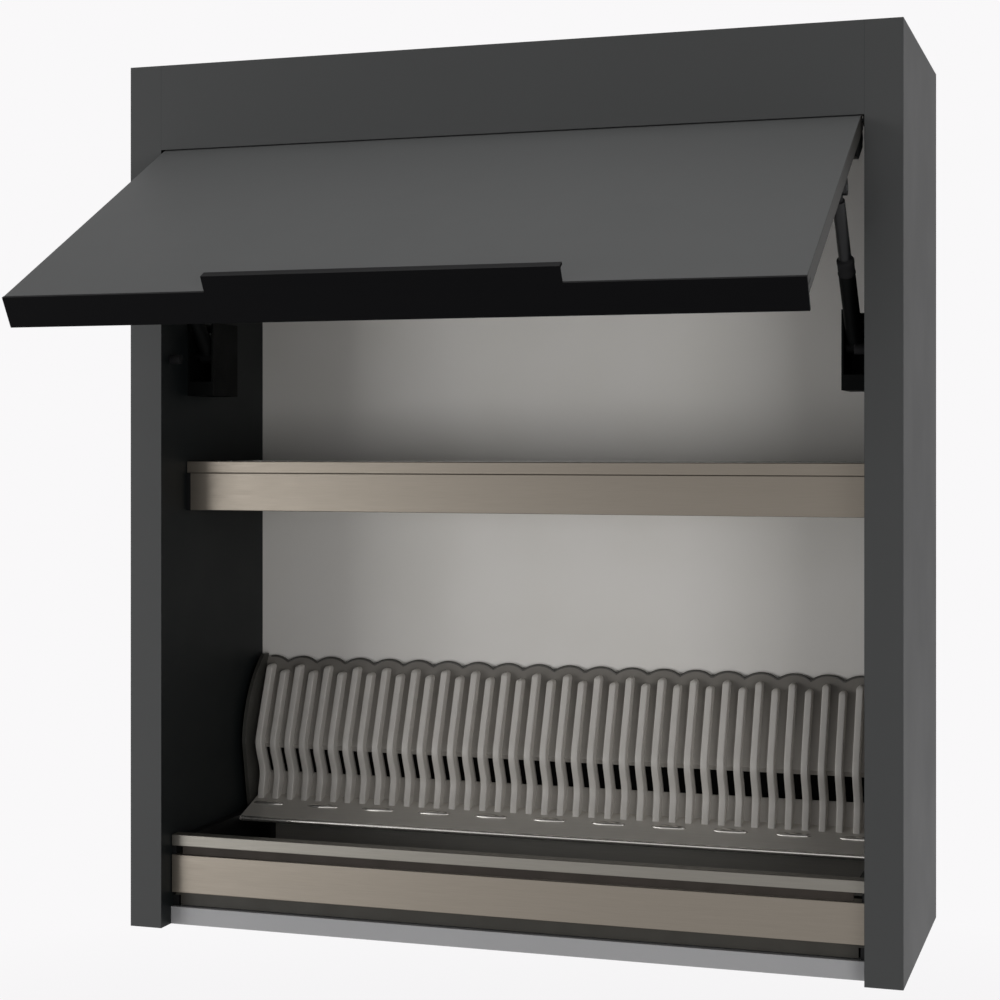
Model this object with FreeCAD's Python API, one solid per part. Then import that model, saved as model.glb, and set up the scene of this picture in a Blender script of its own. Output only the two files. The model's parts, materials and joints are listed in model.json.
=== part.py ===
import FreeCAD, Part
import math
import os

os.makedirs("parts", exist_ok=True)

# Wall unit with a dish drainer: +X right, +Y into the wall, +Z up, millimetres.
# The origin is the centre of the four wall screws, on the wall plane.

# Carcass
cabinet_width = 800.0
cabinet_height = 900.0
cabinet_depth = 300.0
side_thickness = 36.0
board_thickness = 18.0
fascia_thickness = 28.0
back_thickness = 8.0
wall_cavity = 42.0
fascia_height = 85.0
bottom_setback = 22.0
back_rail_height = 80.0
edge_round = 0.8
dowel_radius = 4.0
dowel_length = 30.0
dowel_front_inset = 60.0
dowel_rear_inset = 30.0
fascia_dowel_inset = 20.0
dowel_clearance = 0.05

# Wall hanging, hidden behind the back panel
hang_drop = 80.0
wall_hole_inset = 30.0
wall_hole_rise = 24.0
wall_hole_radius = 3.0
wall_plate_width = 56.0
wall_plate_inset = 18.0
wall_plate_thickness = 2.0
wall_plate_drop = 12.0
wall_plate_offset = 8.0
wall_lip_height = 12.0
hook_side_gap = 14.0
hook_thickness = 4.0
hook_arm_height = 8.0
hook_nose_depth = 10.0
hook_nose_thickness = 3.5
hook_play = 0.5
housing_width = 22.0
housing_depth = 30.0
housing_height = 54.0
housing_below_hook = 38.0
peg_radius = 5.0
peg_length = 10.0
peg_inset = 11.0
adjuster_radius = 3.0
adjuster_length = 10.0
access_radius = 7.0
cap_radius = 9.0
cap_thickness = 1.5
cap_plug_length = 6.0

# Flap, drawn closed and turned open at the end
flap_height = 362.0
flap_thickness = 16.0
flap_open_angle = 60.5
flap_side_gap = 3.0
pivot_drop = 4.5
pivot_setback = 6.0
pivot_pin_radius = 2.0
swing_clearance = 0.5
edge_strip_thickness = 3.0
edge_strip_depth = 30.0
edge_tongue_thickness = 2.0
edge_tongue_depth = 12.0
grip_length = 322.0
grip_reach = 15.0
grip_return = 8.5
grip_wall = 2.5
pin_radius = 3.0
pin_clearance = 0.05
pin_in_flap = 18.0
bush_radius = 3.5
bush_length = 14.0
bush_flange_radius = 5.5
bush_flange_thickness = 1.5
buffer_radius = 5.0
buffer_length = 12.0
buffer_peg_radius = 2.5
buffer_peg_length = 8.0
buffer_rise = 145.0
buffer_gap = 0.3
buffer_round = 1.0

# Gas struts
strut_foot_depth = 75.0
strut_foot_drop = 215.0
strut_stand_off = 24.0
strut_drop = 80.0
strut_side_gap = 18.5
cylinder_radius = 8.0
cylinder_length = 103.0
cylinder_base = 6.0
cylinder_floor = 13.0
cylinder_eye_radius = 8.0
rod_radius = 6.0
rod_inside = 34.0
rod_end_radius = 7.0
rod_end_width = 11.2
rod_end_length = 14.0
rod_neck_radius = 4.5
boss_gap = 0.3
housing_cheek = 2.0
strut_box_front = 60.0
strut_box_depth = 60.0
strut_box_below_foot = 43.0
strut_box_height = 78.0
strut_box_width = 30.0
strut_box_lip = 15.0
strut_screw_inset = 12.0
bracket_plate_thickness = 2.5
bracket_plate_width = 20.0
bracket_plate_length = 44.0
bracket_screw_reach = 15.5
bracket_lug_thickness = 3.0
bracket_lug_width = 14.0
bracket_lug_reach = 7.0
bracket_edge_gap = 6.2
lug_gap = 0.7
pin_head_radius = 4.5
pin_head_thickness = 2.0

# Screws
screw_radius = 2.0
screw_head_radius = 4.0
screw_head_thickness = 1.8
screw_length = 14.0
screw_clearance = 0.05
socket_radius = 1.6
socket_depth = 1.0

# Aluminium profiles and their end brackets
profile_height = 40.0
profile_depth = 18.0
profile_wall = 2.0
profile_edge_round = 1.0
bracket_thickness = 5.0
bracket_play = 1.0
tongue_length = 14.0
tongue_clearance = 0.1
rear_profile_gap = 3.0
bracket_screw_inset = 45.0

# Upper shelf
upper_front = 57.0
upper_drop = 380.5
tray_wall = 2.0
tray_play = 1.0
upper_tray_drop = 18.5
tray_rim_overlap = 15.0
tray_end_gap = 3.0
trim_height = 12.5
trim_thickness = 2.5
trim_foot = 8.0
trim_foot_thickness = 2.0
grid_wire_radius = 2.5
cross_wire_radius = 2.0
cross_wire_pitch = 16.0
cross_wire_overhang = 4.0
wire_sink = 0.3
grid_end_gap = 10.0
grid_foot_inset = 120.0

# Lower unit
lower_height = 33.0
bracket_ledge = 9.0
front_wall_play = 1.0
front_wall_seat = 0.1
runner_width = 7.0
runner_height = 11.7
drip_tray_setback = 5.0
drip_tray_lift = 1.5
drip_tray_height = 12.5
drip_tray_rear_gap = 9.0
drip_flange_width = 6.0
drip_side_gap = 9.0
rail_height = 12.0
rail_thickness = 2.5
rail_return = 12.0
arm_width = 10.0
arm_height = 8.0
arm_side_gap = 2.0
arm_rear_gap = 5.0

# Plate rack, reaching forward from the back panel and up from the underside
fin_spacing = 17.76
arch_rise = 6.3
web_thickness = 2.5
web_foot_reach = 33.0
web_foot_height = 106.5
web_waist_reach = 25.5
web_waist_height = 131.0
web_kink_reach = 41.0
web_kink_height = 165.0
web_top_reach = 6.0
web_valley_height = 254.0
fin_thickness = 7.5
fin_reach = 12.0
fin_tall_height = 252.0
fin_short_height = 246.0
fin_tip_round = 3.0
slot_width = 9.5
slot_bottom = 131.0
slot_top = 160.0
base_front_reach = 87.0
base_front_height = 83.5
base_front_thickness = 4.5
base_rear_reach = 22.0
base_rear_thickness = 3.5
base_edge_round = 2.0
cheek_thickness = 4.0
cheek_top_height = 263.0
cheek_crown_reach = 14.0
cheek_belly_reach = 50.5
cheek_belly_height = 222.0
cheek_front_reach = 66.0
cheek_front_height = 168.0
cheek_foot_reach = 51.0
cheek_back_gap = 2.0

# Planes worked out from the sizes above
wall_y = 0.0
front_y = wall_y - cabinet_depth
top_z = hang_drop
floor_z = top_z - cabinet_height
outer_x = cabinet_width / 2
inner_x = outer_x - side_thickness
back_rear_y = wall_y - wall_cavity
back_front_y = back_rear_y - back_thickness
floor_top_z = floor_z + board_thickness
ceiling_z = top_z - board_thickness
fascia_z = top_z - fascia_height
fascia_rear_y = front_y + fascia_thickness
hook_x = inner_x - hook_side_gap
same_place = 0.01


def block(x0, x1, y0, y1, z0, z1):
    corner = FreeCAD.Vector(min(x0, x1), min(y0, y1), min(z0, z1))
    return Part.makeBox(abs(x1 - x0), abs(y1 - y0), abs(z1 - z0), corner)


def bar_x(x0, x1, y, z, radius):
    start = FreeCAD.Vector(min(x0, x1), y, z)
    return Part.makeCylinder(radius, abs(x1 - x0), start, FreeCAD.Vector(1, 0, 0))


def bar_y(x, y0, y1, z, radius):
    start = FreeCAD.Vector(x, min(y0, y1), z)
    return Part.makeCylinder(radius, abs(y1 - y0), start, FreeCAD.Vector(0, 1, 0))


def slab_x(x0, x1, outline):
    """Prism along X over an outline of (y, z) points."""
    low = min(x0, x1)
    points = [FreeCAD.Vector(low, y, z) for y, z in outline]
    face = Part.Face(Part.makePolygon(points + points[:1]))
    return face.extrude(FreeCAD.Vector(abs(x1 - x0), 0, 0))


def long_front_edges(shape, y):
    """Edges along X that lie on the plane at depth y."""
    found = []
    for edge in shape.Edges:
        box = edge.BoundBox
        if box.YMax < y + same_place and box.ZMax - box.ZMin < same_place:
            found.append(edge)
    return found


def upright_front_edges(shape, y):
    """Edges along Z that lie on the plane at depth y."""
    found = []
    for edge in shape.Edges:
        box = edge.BoundBox
        if box.YMax < y + same_place and box.XMax - box.XMin < same_place:
            found.append(edge)
    return found


def mirrored(shape):
    return shape.mirror(FreeCAD.Vector(0, 0, 0), FreeCAD.Vector(1, 0, 0))


def pair(shape):
    return [shape, mirrored(shape)]


def save(name, *solids):
    shape = solids[0] if len(solids) == 1 else Part.makeCompound(list(solids))
    shape.exportStep("parts/" + name + ".step")


# The pivot of the flap and the way it is turned open

flap_lead_x = inner_x - flap_side_gap
swing_radius = math.hypot(pivot_drop, pivot_setback)
pivot_y = front_y + pivot_setback
pivot_z = fascia_z - swing_clearance - swing_radius
flap_top_z = pivot_z + pivot_drop
flap_edge_z = flap_top_z - flap_height
flap_inner_y = front_y + flap_thickness
grip_half = grip_length / 2


def opened(shape):
    turned = shape.copy()
    centre = FreeCAD.Vector(0, pivot_y, pivot_z)
    turned.rotate(centre, FreeCAD.Vector(1, 0, 0), -flap_open_angle)
    return turned


def opened_point(y, z):
    angle = math.radians(-flap_open_angle)
    dy = y - pivot_y
    dz = z - pivot_z
    turned_y = pivot_y + dy * math.cos(angle) - dz * math.sin(angle)
    turned_z = pivot_z + dy * math.sin(angle) + dz * math.cos(angle)
    return turned_y, turned_z


# The line of the struts

strut_x = inner_x - strut_side_gap
foot_y = front_y + strut_foot_depth
foot_z = fascia_z - strut_foot_drop
strut_box_z = foot_z - strut_box_below_foot
lug_y = flap_inner_y + strut_stand_off
lug_z = pivot_z - strut_drop
head_y, head_z = opened_point(lug_y, lug_z)
strut_span = math.hypot(head_y - foot_y, head_z - foot_z)
strut_dir = FreeCAD.Vector(0, (head_y - foot_y) / strut_span, (head_z - foot_z) / strut_span)
bracket_x = flap_lead_x - bracket_edge_gap


def along_strut(distance):
    foot = FreeCAD.Vector(strut_x, foot_y, foot_z)
    return foot + strut_dir * distance


def screw(head_point, direction):
    """Pan-head screw with a round driver recess; head_point is under the head."""
    shank = Part.makeCylinder(screw_radius, screw_length, head_point, direction)
    outside = head_point - direction * screw_head_thickness
    head = Part.makeCylinder(screw_head_radius, screw_head_thickness, outside, direction)
    recess = Part.makeCylinder(socket_radius, socket_depth, outside, direction)
    return shank.fuse(head).removeSplitter().cut(recess)


def pilot(head_point, direction):
    return Part.makeCylinder(screw_radius + screw_clearance, screw_length, head_point, direction)


def dowel_places():
    """Depth and height of each dowel on the right-hand side."""
    inset_front = front_y + dowel_front_inset
    inset_back = back_front_y - dowel_rear_inset
    places = []
    for y in (inset_front, inset_back):
        places.append((y, ceiling_z + board_thickness / 2))
        places.append((y, floor_z + board_thickness / 2))
    fascia_y = front_y + fascia_thickness / 2
    places.append((fascia_y, fascia_z + fascia_dowel_inset))
    places.append((fascia_y, top_z - fascia_dowel_inset))
    rail_y = wall_y - board_thickness / 2
    places.append((rail_y, floor_top_z + back_rail_height / 2))
    return places


def dowel_bars(radius):
    x0 = inner_x - dowel_length / 2
    x1 = inner_x + dowel_length / 2
    return [bar_x(x0, x1, y, z, radius) for y, z in dowel_places()]


def drill_dowels(shape):
    bars = []
    for bar in dowel_bars(dowel_radius + dowel_clearance):
        bars.extend(pair(bar))
    return shape.cut(bars)


def make_dowels():
    solids = []
    for bar in dowel_bars(dowel_radius):
        solids.extend(pair(bar))
    save("carcass_dowels", *solids)


# Screws that hold pieces to the side panels, on the right-hand side

inward = FreeCAD.Vector(1, 0, 0)
upper_z = fascia_z - upper_drop
lower_z = floor_z + lower_height
rear_profile_y = back_front_y - rear_profile_gap
upper_front_y = front_y + upper_front
lower_front_y = front_y + bottom_setback
bracket_x0 = inner_x - bracket_thickness


def unit_screw_points(unit_front_y, unit_z):
    middle_z = unit_z + profile_height / 2
    ys = (unit_front_y + bracket_screw_inset, rear_profile_y - bracket_screw_inset)
    return [FreeCAD.Vector(bracket_x0, y, middle_z) for y in ys]


def strut_screw_points():
    x = inner_x - housing_cheek
    rear_y = front_y + strut_box_front + strut_box_depth
    low_z = strut_box_z + strut_screw_inset
    high_z = strut_box_z + strut_box_height - strut_screw_inset
    return [FreeCAD.Vector(x, rear_y - strut_screw_inset, z) for z in (low_z, high_z)]


def side_screw_points():
    points = unit_screw_points(upper_front_y, upper_z)
    points += unit_screw_points(lower_front_y, lower_z)
    points += strut_screw_points()
    return points


# Carcass


def hanger_peg_places():
    mid_y = back_rear_y + housing_depth / 2
    base_z = hanger_base_z()
    return [(mid_y, base_z + peg_inset), (mid_y, base_z + housing_height - peg_inset)]


def make_side_panels():
    panel = block(inner_x, outer_x, front_y, wall_y, floor_z, top_z)
    edges = upright_front_edges(panel, front_y)
    outer_edge = max(edges, key=lambda edge: edge.BoundBox.XMax)
    panel = panel.makeFillet(edge_round, [outer_edge])
    holes = dowel_bars(dowel_radius + dowel_clearance)
    hole_end = inner_x + bush_length
    holes.append(bar_x(inner_x, hole_end, pivot_y, pivot_z, bush_radius + pin_clearance))
    for y, z in hanger_peg_places():
        holes.append(bar_x(inner_x, inner_x + peg_length, y, z, peg_radius + pin_clearance))
    peg_end = inner_x + buffer_peg_length
    holes.append(bar_x(inner_x, peg_end, buffer_y(), buffer_z(), buffer_peg_radius))
    for point in side_screw_points():
        holes.append(pilot(point, inward))
    panel = panel.cut(holes)
    save("right_side_panel", panel)
    save("left_side_panel", mirrored(panel))


def make_top_panel():
    panel = block(-inner_x, inner_x, fascia_rear_y, back_rear_y, ceiling_z, top_z)
    save("top_panel", drill_dowels(panel))


def make_top_fascia():
    panel = block(-inner_x, inner_x, front_y, fascia_rear_y, fascia_z, top_z)
    save("top_fascia", drill_dowels(panel))


def make_bottom_panel():
    panel = block(-inner_x, inner_x, lower_front_y, back_rear_y, floor_z, floor_top_z)
    save("bottom_panel", drill_dowels(panel))


def make_back_panel():
    panel = block(-inner_x, inner_x, back_front_y, back_rear_y, floor_top_z, ceiling_z)
    hole = bar_y(hook_x, back_front_y, back_rear_y, hook_arm_z(), access_radius)
    save("back_panel", panel.cut(pair(hole)))


def make_back_rail():
    rail_front = wall_y - board_thickness
    rail_top = floor_top_z + back_rail_height
    rail = block(-inner_x, inner_x, rail_front, wall_y, floor_top_z, rail_top)
    save("back_rail", drill_dowels(rail))


# Wall hanging


def lip_top_z():
    plate_top = wall_hole_rise / 2 + wall_plate_drop
    return plate_top + wall_plate_thickness + wall_lip_height


def hook_arm_z():
    return lip_top_z() + hook_arm_height / 2


def hanger_base_z():
    return hook_arm_z() - housing_below_hook


def make_wall_plates():
    t = wall_plate_thickness
    low = -wall_hole_rise / 2 - wall_plate_drop
    high = wall_hole_rise / 2 + wall_plate_drop
    lip_y = wall_y - wall_plate_offset
    centre_x = hook_x - wall_hole_inset
    x0 = centre_x - wall_plate_inset
    x1 = x0 + wall_plate_width
    outline = [
        (wall_y, low),
        (wall_y, high + t),
        (lip_y, high + t),
        (lip_y, lip_top_z()),
        (lip_y - t, lip_top_z()),
        (lip_y - t, high),
        (wall_y - t, high),
        (wall_y - t, low),
    ]
    plate = slab_x(x0, x1, outline)
    for z in (-wall_hole_rise / 2, wall_hole_rise / 2):
        plate = plate.cut(bar_y(centre_x, wall_y - t, wall_y, z, wall_hole_radius))
    save("wall_plates", *pair(plate))


def make_hanger_housings():
    base_z = hanger_base_z()
    body = block(
        inner_x - housing_width, inner_x,
        back_rear_y, back_rear_y + housing_depth,
        base_z, base_z + housing_height,
    )
    for y, z in hanger_peg_places():
        body = body.fuse(bar_x(inner_x, inner_x + peg_length, y, z, peg_radius))
    slack = pin_clearance
    slot = block(
        hook_x - hook_thickness / 2 - slack, hook_x + hook_thickness / 2 + slack,
        hook_tail_y(), back_rear_y + housing_depth,
        hook_arm_z() - hook_arm_height / 2 - slack, hook_arm_z() + hook_arm_height / 2 + slack,
    )
    bore = bar_y(hook_x, back_rear_y, hook_tail_y(), hook_arm_z(), adjuster_radius + slack)
    save("hanger_housings", *pair(body.cut([slot, bore])))


def hook_tail_y():
    return back_rear_y + adjuster_length


def make_hanger_hooks():
    low = hook_arm_z() - hook_arm_height / 2
    high = hook_arm_z() + hook_arm_height / 2
    nose_front = wall_y - wall_plate_offset + hook_play
    nose_rear = nose_front + hook_nose_thickness
    outline = [
        (hook_tail_y(), low),
        (nose_front, low),
        (nose_front, low - hook_nose_depth),
        (nose_rear, low - hook_nose_depth),
        (nose_rear, high),
        (hook_tail_y(), high),
    ]
    hook = slab_x(hook_x - hook_thickness / 2, hook_x + hook_thickness / 2, outline)
    save("hanger_hooks", *pair(hook))


def make_hanger_screws():
    rear = hook_tail_y()
    shaft = bar_y(hook_x, back_rear_y, rear, hook_arm_z(), adjuster_radius)
    recess = bar_y(hook_x, back_rear_y, back_rear_y + socket_depth, hook_arm_z(), socket_radius)
    save("hanger_screws", *pair(shaft.cut(recess)))


def make_hanger_caps():
    flange_front = back_front_y - cap_thickness
    flange = bar_y(hook_x, flange_front, back_front_y, hook_arm_z(), cap_radius)
    plug_end = back_front_y + cap_plug_length
    plug = bar_y(hook_x, back_front_y, plug_end, hook_arm_z(), access_radius - pin_clearance)
    save("hanger_caps", *pair(flange.fuse(plug)))


# Flap


def make_flap_panel():
    low = flap_edge_z + edge_strip_thickness
    panel = block(-flap_lead_x, flap_lead_x, front_y, flap_inner_y, low, flap_top_z)
    panel = panel.makeFillet(edge_round, upright_front_edges(panel, front_y))
    groove_y = front_y + flap_thickness / 2
    groove = block(
        -flap_lead_x, flap_lead_x,
        groove_y - edge_tongue_thickness / 2, groove_y + edge_tongue_thickness / 2,
        low, low + edge_tongue_depth,
    )
    cuts = [groove]
    pin_hole = bar_x(flap_lead_x - pin_in_flap, flap_lead_x, pivot_y, pivot_z, pivot_pin_radius)
    cuts += pair(pin_hole)
    for point in flap_screw_points():
        hole = pilot(point, FreeCAD.Vector(0, -1, 0))
        cuts += pair(hole)
    save("flap_panel", opened(panel.cut(cuts)))


def edge_piece(x0, x1, front):
    groove_y = front_y + flap_thickness / 2
    tongue_low = flap_edge_z + edge_strip_thickness
    plate = block(x0, x1, front, front_y + edge_strip_depth, flap_edge_z, tongue_low)
    tongue = block(
        x0, x1,
        groove_y - edge_tongue_thickness / 2, groove_y + edge_tongue_thickness / 2,
        tongue_low, tongue_low + edge_tongue_depth,
    )
    return plate.fuse(tongue).removeSplitter()


def make_edge_strips():
    strip = edge_piece(grip_half, flap_lead_x, front_y)
    save("flap_edge_strips", *[opened(solid) for solid in pair(strip)])


def make_flap_grip():
    lip_y = front_y - grip_reach
    plate = edge_piece(-grip_half, grip_half, lip_y)
    lip = block(
        -grip_half, grip_half, lip_y, lip_y + grip_wall, flap_edge_z, flap_edge_z + grip_return
    )
    save("flap_grip", opened(plate.fuse(lip).removeSplitter()))


def make_pivot_pins():
    x0 = flap_lead_x - pin_in_flap
    pin = bar_x(x0, inner_x + bush_length, pivot_y, pivot_z, pivot_pin_radius)
    save("pivot_pins", *pair(pin))


def make_pivot_bushes():
    body = bar_x(inner_x, inner_x + bush_length, pivot_y, pivot_z, bush_radius)
    flange_x = inner_x - bush_flange_thickness
    flange = bar_x(flange_x, inner_x, pivot_y, pivot_z, bush_flange_radius)
    reach = inner_x + bush_length
    bore = bar_x(flange_x, reach, pivot_y, pivot_z, pivot_pin_radius + pin_clearance)
    save("pivot_bushes", *pair(body.fuse(flange).removeSplitter().cut(bore)))


def buffer_y():
    return flap_inner_y + buffer_radius + buffer_gap


def buffer_z():
    return flap_edge_z + buffer_rise


def make_flap_buffers():
    head = bar_x(inner_x - buffer_length, inner_x, buffer_y(), buffer_z(), buffer_radius)
    head = head.makeFillet(buffer_round, [min(head.Edges, key=lambda edge: edge.BoundBox.XMax)])
    peg_end = inner_x + buffer_peg_length
    peg = bar_x(inner_x, peg_end, buffer_y(), buffer_z(), buffer_peg_radius)
    save("flap_buffers", *pair(head.fuse(peg)))


def flap_screw_points():
    x = bracket_x - bracket_plate_width / 2
    y = flap_inner_y + bracket_plate_thickness
    return [FreeCAD.Vector(x, y, lug_z + side * bracket_screw_reach) for side in (-1, 1)]


def make_strut_brackets():
    half = bracket_plate_length / 2
    rear = flap_inner_y + bracket_plate_thickness
    plate = block(
        bracket_x - bracket_plate_width, bracket_x, flap_inner_y, rear, lug_z - half, lug_z + half
    )
    lug_half = bracket_lug_width / 2
    lug_x = bracket_x - bracket_lug_thickness
    lug = block(lug_x, bracket_x, flap_inner_y, lug_y, lug_z - lug_half, lug_z + lug_half)
    tip = bar_x(lug_x, bracket_x, lug_y, lug_z, bracket_lug_reach)
    shape = plate.fuse([lug, tip]).removeSplitter()
    cuts = [bar_x(lug_x, bracket_x, lug_y, lug_z, pin_radius)]
    cuts += [pilot(point, FreeCAD.Vector(0, -1, 0)) for point in flap_screw_points()]
    save("strut_brackets", *[opened(solid) for solid in pair(shape.cut(cuts))])


def make_strut_head_pins():
    eye_x = bracket_x - bracket_lug_thickness - lug_gap - rod_end_width
    shaft = bar_x(eye_x, bracket_x, lug_y, lug_z, pin_radius)
    head = bar_x(eye_x - pin_head_thickness, eye_x, lug_y, lug_z, pin_head_radius)
    pin = shaft.fuse(head).removeSplitter()
    save("strut_head_pins", *[opened(solid) for solid in pair(pin)])


def make_flap_screws():
    solids = []
    for point in flap_screw_points():
        solids += pair(screw(point, FreeCAD.Vector(0, -1, 0)))
    save("flap_screws", *[opened(solid) for solid in solids])


# Gas struts


def eye_centre_x():
    return bracket_x - bracket_lug_thickness - lug_gap - rod_end_width / 2


def make_strut_rods():
    start = along_strut(cylinder_length - rod_inside)
    length = strut_span - rod_end_length - (cylinder_length - rod_inside)
    rod = Part.makeCylinder(rod_radius, length, start, strut_dir)
    save("right_strut_rod", rod)
    save("left_strut_rod", mirrored(rod))


def make_rod_ends():
    x0 = eye_centre_x() - rod_end_width / 2
    x1 = eye_centre_x() + rod_end_width / 2
    eye = bar_x(x0, x1, head_y, head_z, rod_end_radius)
    neck_start = along_strut(strut_span - rod_end_length)
    neck = Part.makeCylinder(rod_neck_radius, rod_end_length, neck_start, strut_dir)
    bore = bar_x(x0, x1, head_y, head_z, pin_radius + pin_clearance)
    end = eye.fuse(neck).removeSplitter().cut(bore)
    save("right_rod_end", end)
    save("left_rod_end", mirrored(end))


def make_strut_cylinders():
    tube_length = cylinder_length - cylinder_base
    tube = Part.makeCylinder(cylinder_radius, tube_length, along_strut(cylinder_base), strut_dir)
    bore_start = along_strut(cylinder_floor)
    bore_length = cylinder_length - cylinder_floor
    bore = Part.makeCylinder(rod_radius + pin_clearance, bore_length, bore_start, strut_dir)
    x0 = strut_x - cylinder_radius
    x1 = strut_x + cylinder_radius
    eye = bar_x(x0, x1, foot_y, foot_z, cylinder_eye_radius)
    hole = bar_x(x0, x1, foot_y, foot_z, pin_radius)
    body = tube.fuse(eye).removeSplitter().cut([bore, hole])
    save("right_strut_cylinder", body)
    save("left_strut_cylinder", mirrored(body))


def make_strut_bases():
    y0 = front_y + strut_box_front
    z0 = strut_box_z
    x0 = inner_x - housing_cheek
    plate = block(x0, inner_x, y0, y0 + strut_box_depth, z0, z0 + strut_box_height)
    boss_end = strut_x + cylinder_radius + boss_gap
    plate = plate.fuse(bar_x(boss_end, x0, foot_y, foot_z, pin_radius)).removeSplitter()
    plate = plate.cut([pilot(point, inward) for point in strut_screw_points()])
    save("right_strut_base", plate)
    save("left_strut_base", mirrored(plate))


def make_strut_covers():
    y0 = front_y + strut_box_front
    y1 = y0 + strut_box_depth
    z0 = strut_box_z
    z1 = z0 + strut_box_height
    x0 = inner_x - strut_box_width
    x1 = inner_x - housing_cheek
    t = housing_cheek
    cheek = block(x0, x0 + t, y0, y1, z0, z1)
    floor = block(x0, x1, y0, y1, z0, z0 + t)
    rear = block(x0, x1, y1 - t, y1, z0, z1)
    lip = block(x0, x1, y0, y0 + t, z0, z0 + strut_box_lip)
    boss_end = strut_x - cylinder_radius - boss_gap
    boss = bar_x(x0 + t, boss_end, foot_y, foot_z, pin_radius)
    cover = cheek.fuse([floor, rear, lip, boss]).removeSplitter()
    save("right_strut_cover", cover)
    save("left_strut_cover", mirrored(cover))


def make_strut_screws():
    solids = []
    for point in strut_screw_points():
        solids += pair(screw(point, inward))
    save("strut_base_screws", *solids)


# Profile frames of the two shelves


def front_channel(y0, z0, half, wall_half):
    """Channel open to the rear; its front wall may reach past its flanges."""
    y1 = y0 + profile_depth
    z1 = z0 + profile_height
    t = profile_wall
    wall = block(-wall_half, wall_half, y0, y0 + t, z0, z1)
    low = block(-half, half, y0, y1, z0, z0 + t)
    high = block(-half, half, y0, y1, z1 - t, z1)
    channel = wall.fuse([low, high]).removeSplitter()
    return channel.makeFillet(profile_edge_round, long_front_edges(channel, y0))


def rear_channel(z0):
    y1 = rear_profile_y
    y0 = y1 - profile_depth
    half = bracket_x0
    t = profile_wall
    wall = block(-half, half, y1 - t, y1, z0, z0 + profile_height)
    low = block(-half, half, y0, y1, z0, z0 + t)
    top_z0 = z0 + profile_height - t
    high = block(-half, half, y0, y1, top_z0, top_z0 + t)
    return wall.fuse([low, high]).removeSplitter()


def end_bracket(y0, z0, z1, front_seat, screw_points):
    """Plate on the side panel with two tongues that fill the ends of the channels."""
    plate = block(bracket_x0, inner_x, y0, rear_profile_y, z0, z1)
    slack = profile_wall + tongue_clearance
    low = z0 + slack
    high = z0 + profile_height - slack
    x0 = bracket_x0 - tongue_length
    front_tongue = block(x0, bracket_x0, front_seat + slack, front_seat + profile_depth, low, high)
    rear_y = rear_profile_y - slack
    rear_tongue = block(x0, bracket_x0, rear_profile_y - profile_depth, rear_y, low, high)
    bracket = plate.fuse([front_tongue, rear_tongue]).removeSplitter()
    return bracket.cut([pilot(point, inward) for point in screw_points])


def unit_screws(points):
    solids = []
    for point in points:
        solids += pair(screw(point, inward))
    return solids


def make_upper_frame():
    points = unit_screw_points(upper_front_y, upper_z)
    front = front_channel(upper_front_y, upper_z, bracket_x0, bracket_x0)
    save("upper_front_profile", front)
    save("upper_rear_profile", rear_channel(upper_z))
    high = upper_z + profile_height
    bracket = end_bracket(upper_front_y, upper_z, high, upper_front_y, points)
    save("upper_right_bracket", bracket)
    save("upper_left_bracket", mirrored(bracket))
    save("upper_bracket_screws", *unit_screws(points))


def make_lower_frame():
    points = unit_screw_points(lower_front_y, lower_z)
    wall_half = inner_x - front_wall_play
    front = front_channel(lower_front_y, lower_z, bracket_x0, wall_half)
    save("lower_front_profile", front)
    save("lower_rear_profile", rear_channel(lower_z))
    plate_front = lower_front_y + profile_wall + front_wall_seat
    high = lower_z + profile_height + bracket_ledge
    bracket = end_bracket(plate_front, lower_z, high, lower_front_y, points)
    save("lower_right_bracket", bracket)
    save("lower_left_bracket", mirrored(bracket))
    save("lower_bracket_screws", *unit_screws(points))


# Tray and grid of the upper shelf

rim_z = upper_z + profile_height
rim_front_y = upper_front_y + trim_thickness
rim_rear_y = rear_profile_y - tray_end_gap
rim_half = bracket_x0 - tray_play
trim_foot_z = rim_z + tray_wall


def make_upper_tray():
    t = tray_wall
    basin_front = upper_front_y + profile_depth + tray_play
    basin_rear = rear_profile_y - profile_depth - tray_play
    basin_half = bracket_x0 - tray_end_gap
    floor = rim_z - upper_tray_drop
    rim = block(-rim_half, rim_half, rim_front_y, rim_rear_y, rim_z, rim_z + t)
    outer = block(-basin_half, basin_half, basin_front, basin_rear, floor, rim_z + t)
    hollow = block(
        -basin_half + t, basin_half - t, basin_front + t, basin_rear - t, floor + t, rim_z + t
    )
    tray = rim.fuse(outer).removeSplitter().cut(hollow)
    save("upper_tray", tray)


def make_upper_tray_trim():
    half = inner_x - front_wall_play
    strip = block(-half, half, upper_front_y, rim_front_y, rim_z, rim_z + trim_height)
    foot = block(
        -rim_half, rim_half,
        rim_front_y, rim_front_y + trim_foot,
        trim_foot_z, trim_foot_z + trim_foot_thickness,
    )
    trim = strip.fuse(foot).removeSplitter()
    edges = long_front_edges(trim, upper_front_y)
    save("upper_tray_trim", trim.makeFillet(profile_edge_round, edges))


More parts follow.
